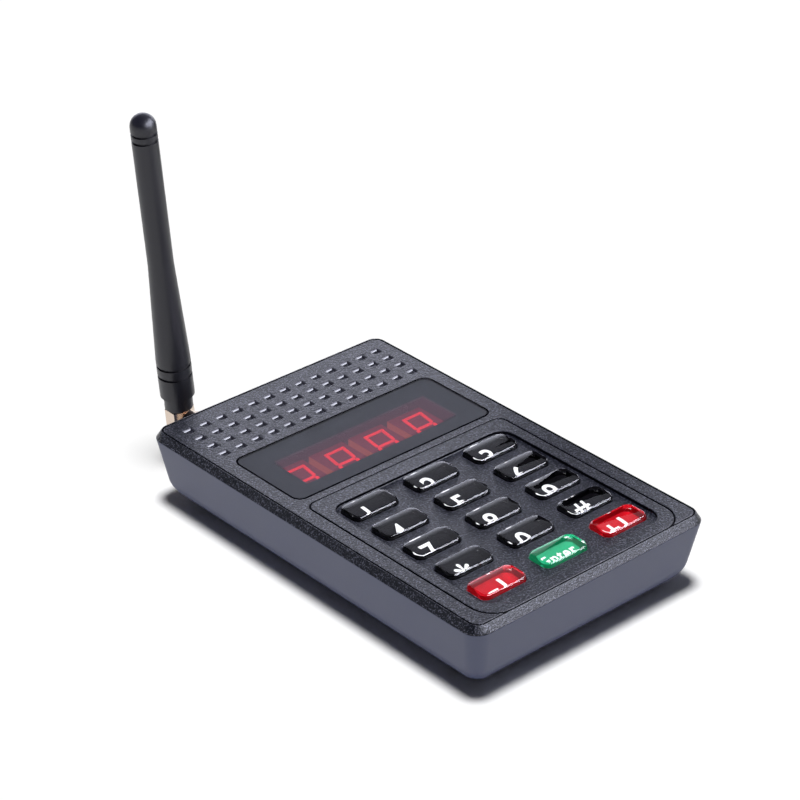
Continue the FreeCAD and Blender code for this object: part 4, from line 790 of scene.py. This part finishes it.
def add_profile(tree, entry, rim, row):
    """The place of each grid point, from its place on the outline and its row."""
    def step(operation, *values):
        return arithmetic(tree, operation, *values)

    def passed(first, count=1):
        """How much of some rows the grid has come through, from 0 to 1."""
        return clamped(tree, step("DIVIDE", step("SUBTRACT", row, float(first)), float(count)))

    half_x, half_y = (
        step("SUBTRACT", step("MULTIPLY", entry[label], 0.5), entry["Corner"])
        for label in ("Width", "Length")
    )
    half = combine(tree, half_x, half_y)
    opposite = vector_math(tree, "MULTIPLY", half, (-1, -1, -1))
    centre = vector_math(tree, "MINIMUM", vector_math(tree, "MAXIMUM", rim, opposite), half)
    outward = vector_math(tree, "NORMALIZE", vector_math(tree, "SUBTRACT", rim, centre))

    on_foot, above_foot, on_wall = (passed(first) for first in range(WALL_ROWS))
    bend = step("MULTIPLY", passed(WALL_ROWS, EDGE_STEPS), math.pi / 2)
    crown = passed(WALL_ROWS + EDGE_STEPS, CROWN_STEPS)
    inset = step("MULTIPLY", entry["Edge"], step("SUBTRACT", 1.0, step("COSINE", bend)))
    grow = step("MULTIPLY", entry["Grow"], step("SUBTRACT", 1.0, on_wall))
    reach = step("ADD", step("SUBTRACT", entry["Corner"], inset), grow)
    flat = vector_math(tree, "MULTIPLY", outward, combine(tree, reach, reach, reach))
    flat = vector_math(tree, "ADD", centre, flat)
    share = step("MULTIPLY", on_foot, step("SUBTRACT", 1.0, crown))
    flat = vector_math(tree, "MULTIPLY", flat, combine(tree, share, share, share))

    drop = step("MULTIPLY", entry["Edge"], step("SUBTRACT", 1.0, step("SINE", bend)))
    top_reach = step("SUBTRACT", step("MULTIPLY", entry["Length"], 0.5), entry["Edge"])
    lengthways = clamped(tree, step("DIVIDE", step("ABSOLUTE", separate(tree, flat)[1]), top_reach))
    dome = step("MULTIPLY", entry["Crown"], step("SUBTRACT", 1.0, step("POWER", lengthways, 2.0)))
    shoulder = step("SUBTRACT", step("SUBTRACT", entry["Top"], entry["Crown"]), drop)
    high = step("ADD", shoulder, step("MULTIPLY", dome, on_wall))
    rise = step("SUBTRACT", entry["Grow Level"], entry["Foot"])
    low = step("MULTIPLY_ADD", above_foot, rise, entry["Foot"])
    level = step("MULTIPLY_ADD", on_wall, step("SUBTRACT", high, low), low)
    return vector_math(tree, "ADD", flat, combine(tree, 0.0, 0.0, level))


print("profile is ready")

# %% [markdown]
# ## The whole tree
# The grid is moved to its places, and the points that fall together are welded: the seam where
# the first and the last column meet, and the middle of the foot and of the crown.

# %% Tree for a moulded block
WELD = 1e-6
BLOCK_SIZES = ("Width", "Length", "Corner", "Foot", "Top", "Edge", "Crown", "Grow", "Grow Level")


def build_moulded_block():
    tree = bpy.data.node_groups.new("moulded_block", "GeometryNodeTree")
    face = tree.interface
    for label in BLOCK_SIZES:
        face.new_socket(label, in_out="INPUT", socket_type="NodeSocketFloat")
    face.new_socket("Material", in_out="INPUT", socket_type="NodeSocketMaterial")
    face.new_socket("Geometry", in_out="OUTPUT", socket_type="NodeSocketGeometry")
    entry = add_node(tree, "NodeGroupInput").outputs

    mesh, column, row = add_grid(tree, OUTLINE_POINTS, GRID_ROWS)
    sample = add_node(tree, "GeometryNodeSampleIndex", data_type="FLOAT_VECTOR", domain="POINT")
    feed(tree, sample.inputs["Geometry"], add_outline(tree, entry))
    feed(tree, sample.inputs["Value"], add_node(tree, "GeometryNodeInputPosition").outputs[0])
    feed(tree, sample.inputs["Index"], column)

    mover = add_node(tree, "GeometryNodeSetPosition")
    feed(tree, mover.inputs["Position"], add_profile(tree, entry, sample.outputs["Value"], row))
    weld = add_node(tree, "GeometryNodeMergeByDistance")
    feed(tree, weld.inputs["Distance"], WELD)
    paint = add_node(tree, "GeometryNodeSetMaterial")
    feed(tree, paint.inputs["Material"], entry["Material"])
    smooth = add_node(tree, "GeometryNodeSetShadeSmooth")
    real = add_node(tree, "GeometryNodeRealizeInstances")
    for node in (mover, weld, smooth, real, paint):
        feed(tree, node.inputs["Geometry"], mesh)
        mesh = node.outputs["Geometry"]
    feed(tree, add_node(tree, "NodeGroupOutput").inputs["Geometry"], mesh)
    return tree


moulded_block = build_moulded_block()
print("moulded block tree has", len(moulded_block.nodes), "nodes")

# %% [markdown]
# ## Running a tree
# A helper object carries the tree as a modifier. The inputs are set by their identifiers before
# the first evaluation, and the evaluated mesh is kept as plain geometry.


# %% Run a tree
def grow_mesh(tree, name, **inputs):
    """The mesh that a Geometry Nodes tree makes with these inputs."""
    helper = bpy.data.objects.new("helper", bpy.data.meshes.new("helper"))
    scene.collection.objects.link(helper)
    modifier = helper.modifiers.new("tree", "NODES")
    modifier.node_group = tree
    for item in tree.interface.items_tree:
        if item.in_out == "INPUT" and item.name.replace(" ", "_") in inputs:
            modifier[item.identifier] = inputs[item.name.replace(" ", "_")]
    evaluated = helper.evaluated_get(bpy.context.evaluated_depsgraph_get())
    mesh = bpy.data.meshes.new_from_object(evaluated)
    mesh.name = name
    bpy.data.objects.remove(helper)
    return mesh


def outward_faces(mesh):
    """Welds doubles and turns every face outwards."""
    shaped = bmesh.new()
    shaped.from_mesh(mesh)
    bmesh.ops.remove_doubles(shaped, verts=shaped.verts, dist=WELD)
    bmesh.ops.recalc_face_normals(shaped, faces=shaped.faces)
    shaped.to_mesh(mesh)
    shaped.free()


print("ready to grow meshes")

# %% [markdown]
# ## Keys
# Each real key is a clear block in a coloured carrier, with its figure printed white on the
# carrier's floor. Seen at a slant the figure shows through seven millimetres of plastic, bent
# towards the reader. To let light pass from the block into the print without a film of air, the
# block is a hair larger than its seat.

# %% Key sizes and finishes
KEY_CORNER = 0.0023
KEY_EDGE = 0.0007
KEY_CROWN = 0.00025
CAP_GROW = 0.00012
PRINT_LIFT = 0.00006
FIGURES = {
    "minus": "−1", "enter": "Enter", "plus": "+1", "star": "*", "0": "0", "hash": "#",
    "1": "1", "2": "2", "3": "3", "4": "4", "5": "5", "6": "6", "7": "7", "8": "8", "9": "9",
}
carrier_looks = {"minus": "red", "plus": "red", "enter": "green"}
carrier_tones = {
    "black": ((0.003, 0.003, 0.004), (0.005, 0.005, 0.006), (0.8, 0.9)),
    "red": ((0.36, 0.004, 0.009), (0.42, 0.007, 0.014), (0.6, 0.7)),
    "green": ((0.012, 0.27, 0.120), (0.018, 0.32, 0.150), (0.6, 0.7)),
}
carrier_finish = {
    look: make_finish("carrier_" + look, *tones, depth=0.0, Specular_IOR_Level=0.0)
    for look, tones in carrier_tones.items()
}
figure_white = make_finish("figure_white", (0.86, 0.86, 0.86), (0.92, 0.92, 0.92), (0.5, 0.6), depth=0.0)
print(len(FIGURES), "figures")

# %% [markdown]
# ## Clear blocks
# Each block takes its size from the box of its CAD key, so a change of a size in the CAD is
# followed here.


# %% Clear blocks
def clear_block(name):
    low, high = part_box("key_cap_" + name)
    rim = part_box("key_plunger_" + name)[1].z
    mesh = grow_mesh(
        moulded_block, "clear_block_" + name,
        Width=high.x - low.x, Length=high.y - low.y, Corner=KEY_CORNER, Edge=KEY_EDGE,
        Foot=low.z - PRINT_LIFT, Top=high.z, Crown=KEY_CROWN, Grow=CAP_GROW,
        Grow_Level=rim - KEY_EDGE / 4, Material=key_clear,
    )
    outward_faces(mesh)
    mesh.transform(Matrix.Translation(((low.x + high.x) / 2, (low.y + high.y) / 2, 0)))
    return link_piece(
        "clear_block_" + name, mesh, key_clear, "key_" + name, "key_clear", "key_cap_" + name
    )


for key in FIGURES:
    block = clear_block(key)
print("block of the last key has", len(block.data.vertices), "vertices")

# %% [markdown]
# ## Carriers
# The coloured bodies under the blocks keep their CAD meshes. Twelve are black, two are red and
# one is green.

# %% Carriers
for key in FIGURES:
    look = carrier_looks.get(key, "black")
    node = nodes["key_plunger_" + key]
    node.data.materials.clear()
    node.data.materials.append(carrier_finish[look])
print("carriers done")

# %% [markdown]
# ## Letters as meshes
# Each figure is made by a text curve and turned into a thin mesh. The asterisk of most fonts is
# small and high, so it gets a size of its own. The word is smaller, lighter and set a little
# wider than the figures.

# %% Letters
FIGURE_SIZE = 0.0088
STAR_SIZE = 0.0120
WORD_SIZE = 0.0047
FIGURE_SHIFT = (0.0, 0.00015)
WORD_SHIFT = (0.0012, 0.0010)
FIGURE_WEIGHT = 0.00012
WORD_WEIGHT = 0.00010
WORD_SPACING = 1.12
PRINT_THICKNESS = 0.00002


def is_word(text):
    return len(text) > 2


def figure_mesh(name, text, size):
    letters = bpy.data.curves.new(name, "FONT")
    letters.body = text
    letters.size = size
    letters.align_x = "CENTER"
    letters.offset = WORD_WEIGHT if is_word(text) else FIGURE_WEIGHT
    letters.space_character = WORD_SPACING if is_word(text) else 1.0
    letters.extrude = PRINT_THICKNESS
    letters.resolution_u = 6
    helper = bpy.data.objects.new("helper", letters)
    scene.collection.objects.link(helper)
    evaluated = helper.evaluated_get(bpy.context.evaluated_depsgraph_get())
    mesh = bpy.data.meshes.new_from_object(evaluated)
    bpy.data.objects.remove(helper)
    outward_faces(mesh)
    mesh.name = name
    return mesh


print("letters are", PRINT_THICKNESS * 2, "m thick")

# %% [markdown]
# ## Figures under the keys
# The figures lie on the floor of each carrier. Each is centred on its key by its own box, because
# the middle of a text curve isn't the middle of its ink.

# %% Figures under the keys
for key, text in FIGURES.items():
    low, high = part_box("key_cap_" + key)
    size = WORD_SIZE if is_word(text) else STAR_SIZE if text == "*" else FIGURE_SIZE
    mesh = figure_mesh("figure_" + key, text, size)
    xs = [vertex.co.x for vertex in mesh.vertices]
    ys = [vertex.co.y for vertex in mesh.vertices]
    right, back = WORD_SHIFT if is_word(text) else FIGURE_SHIFT
    shift_x = (low.x + high.x) / 2 - (min(xs) + max(xs)) / 2 + right
    shift_y = (low.y + high.y) / 2 - (min(ys) + max(ys)) / 2 + back
    mesh.transform(Matrix.Translation((shift_x, shift_y, low.z)))
    link_piece("figure_" + key, mesh, figure_white, "key_" + key, "key_clear")
print("figure", text, "is", round((max(ys) - min(ys)) * 1000, 2), "mm tall")

# %% [markdown]
# ## Finishes on the CAD pieces
# The pieces inside, and those whose shape is already right, keep their CAD mesh. Each gets the
# finish of its slot.

# %% Dress the CAD pieces
slot_finish = {
    "case_plastic": case_satin, "cover_plastic": cover_grain, "screw_steel": screw_steel,
    "foot_rubber": foot_rubber, "mask_film": window_film, "window_tint": window_smoke,
    "digit_block": digit_block, "segment_red": segment_glow, "switch_black": switch_black,
    "board_green": board_green, "shield_tin": shield_tin, "component_black": component_black,
    "can_aluminium": can_metal, "antenna_rubber": whip_rubber, "spring_wire": spring_wire,
    "gold_brass": gold_plate, "lead_jacket": lead_jacket, "key_clear": key_clear,
    "key_black": carrier_finish["black"], "key_red": carrier_finish["red"],
    "key_green": carrier_finish["green"],
}
for part in frame["record"]["subparts"]:
    node = nodes[part["node"]]
    node.data.materials.clear()
    node.data.materials.append(slot_finish[part["material_slot"]])
print(len(slot_finish), "finishes given")

# %% [markdown]
# ## Measure and finish
# The box of the dressed model is measured, as that of the CAD model was at the start.

# %% Measure and finish
low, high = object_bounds()
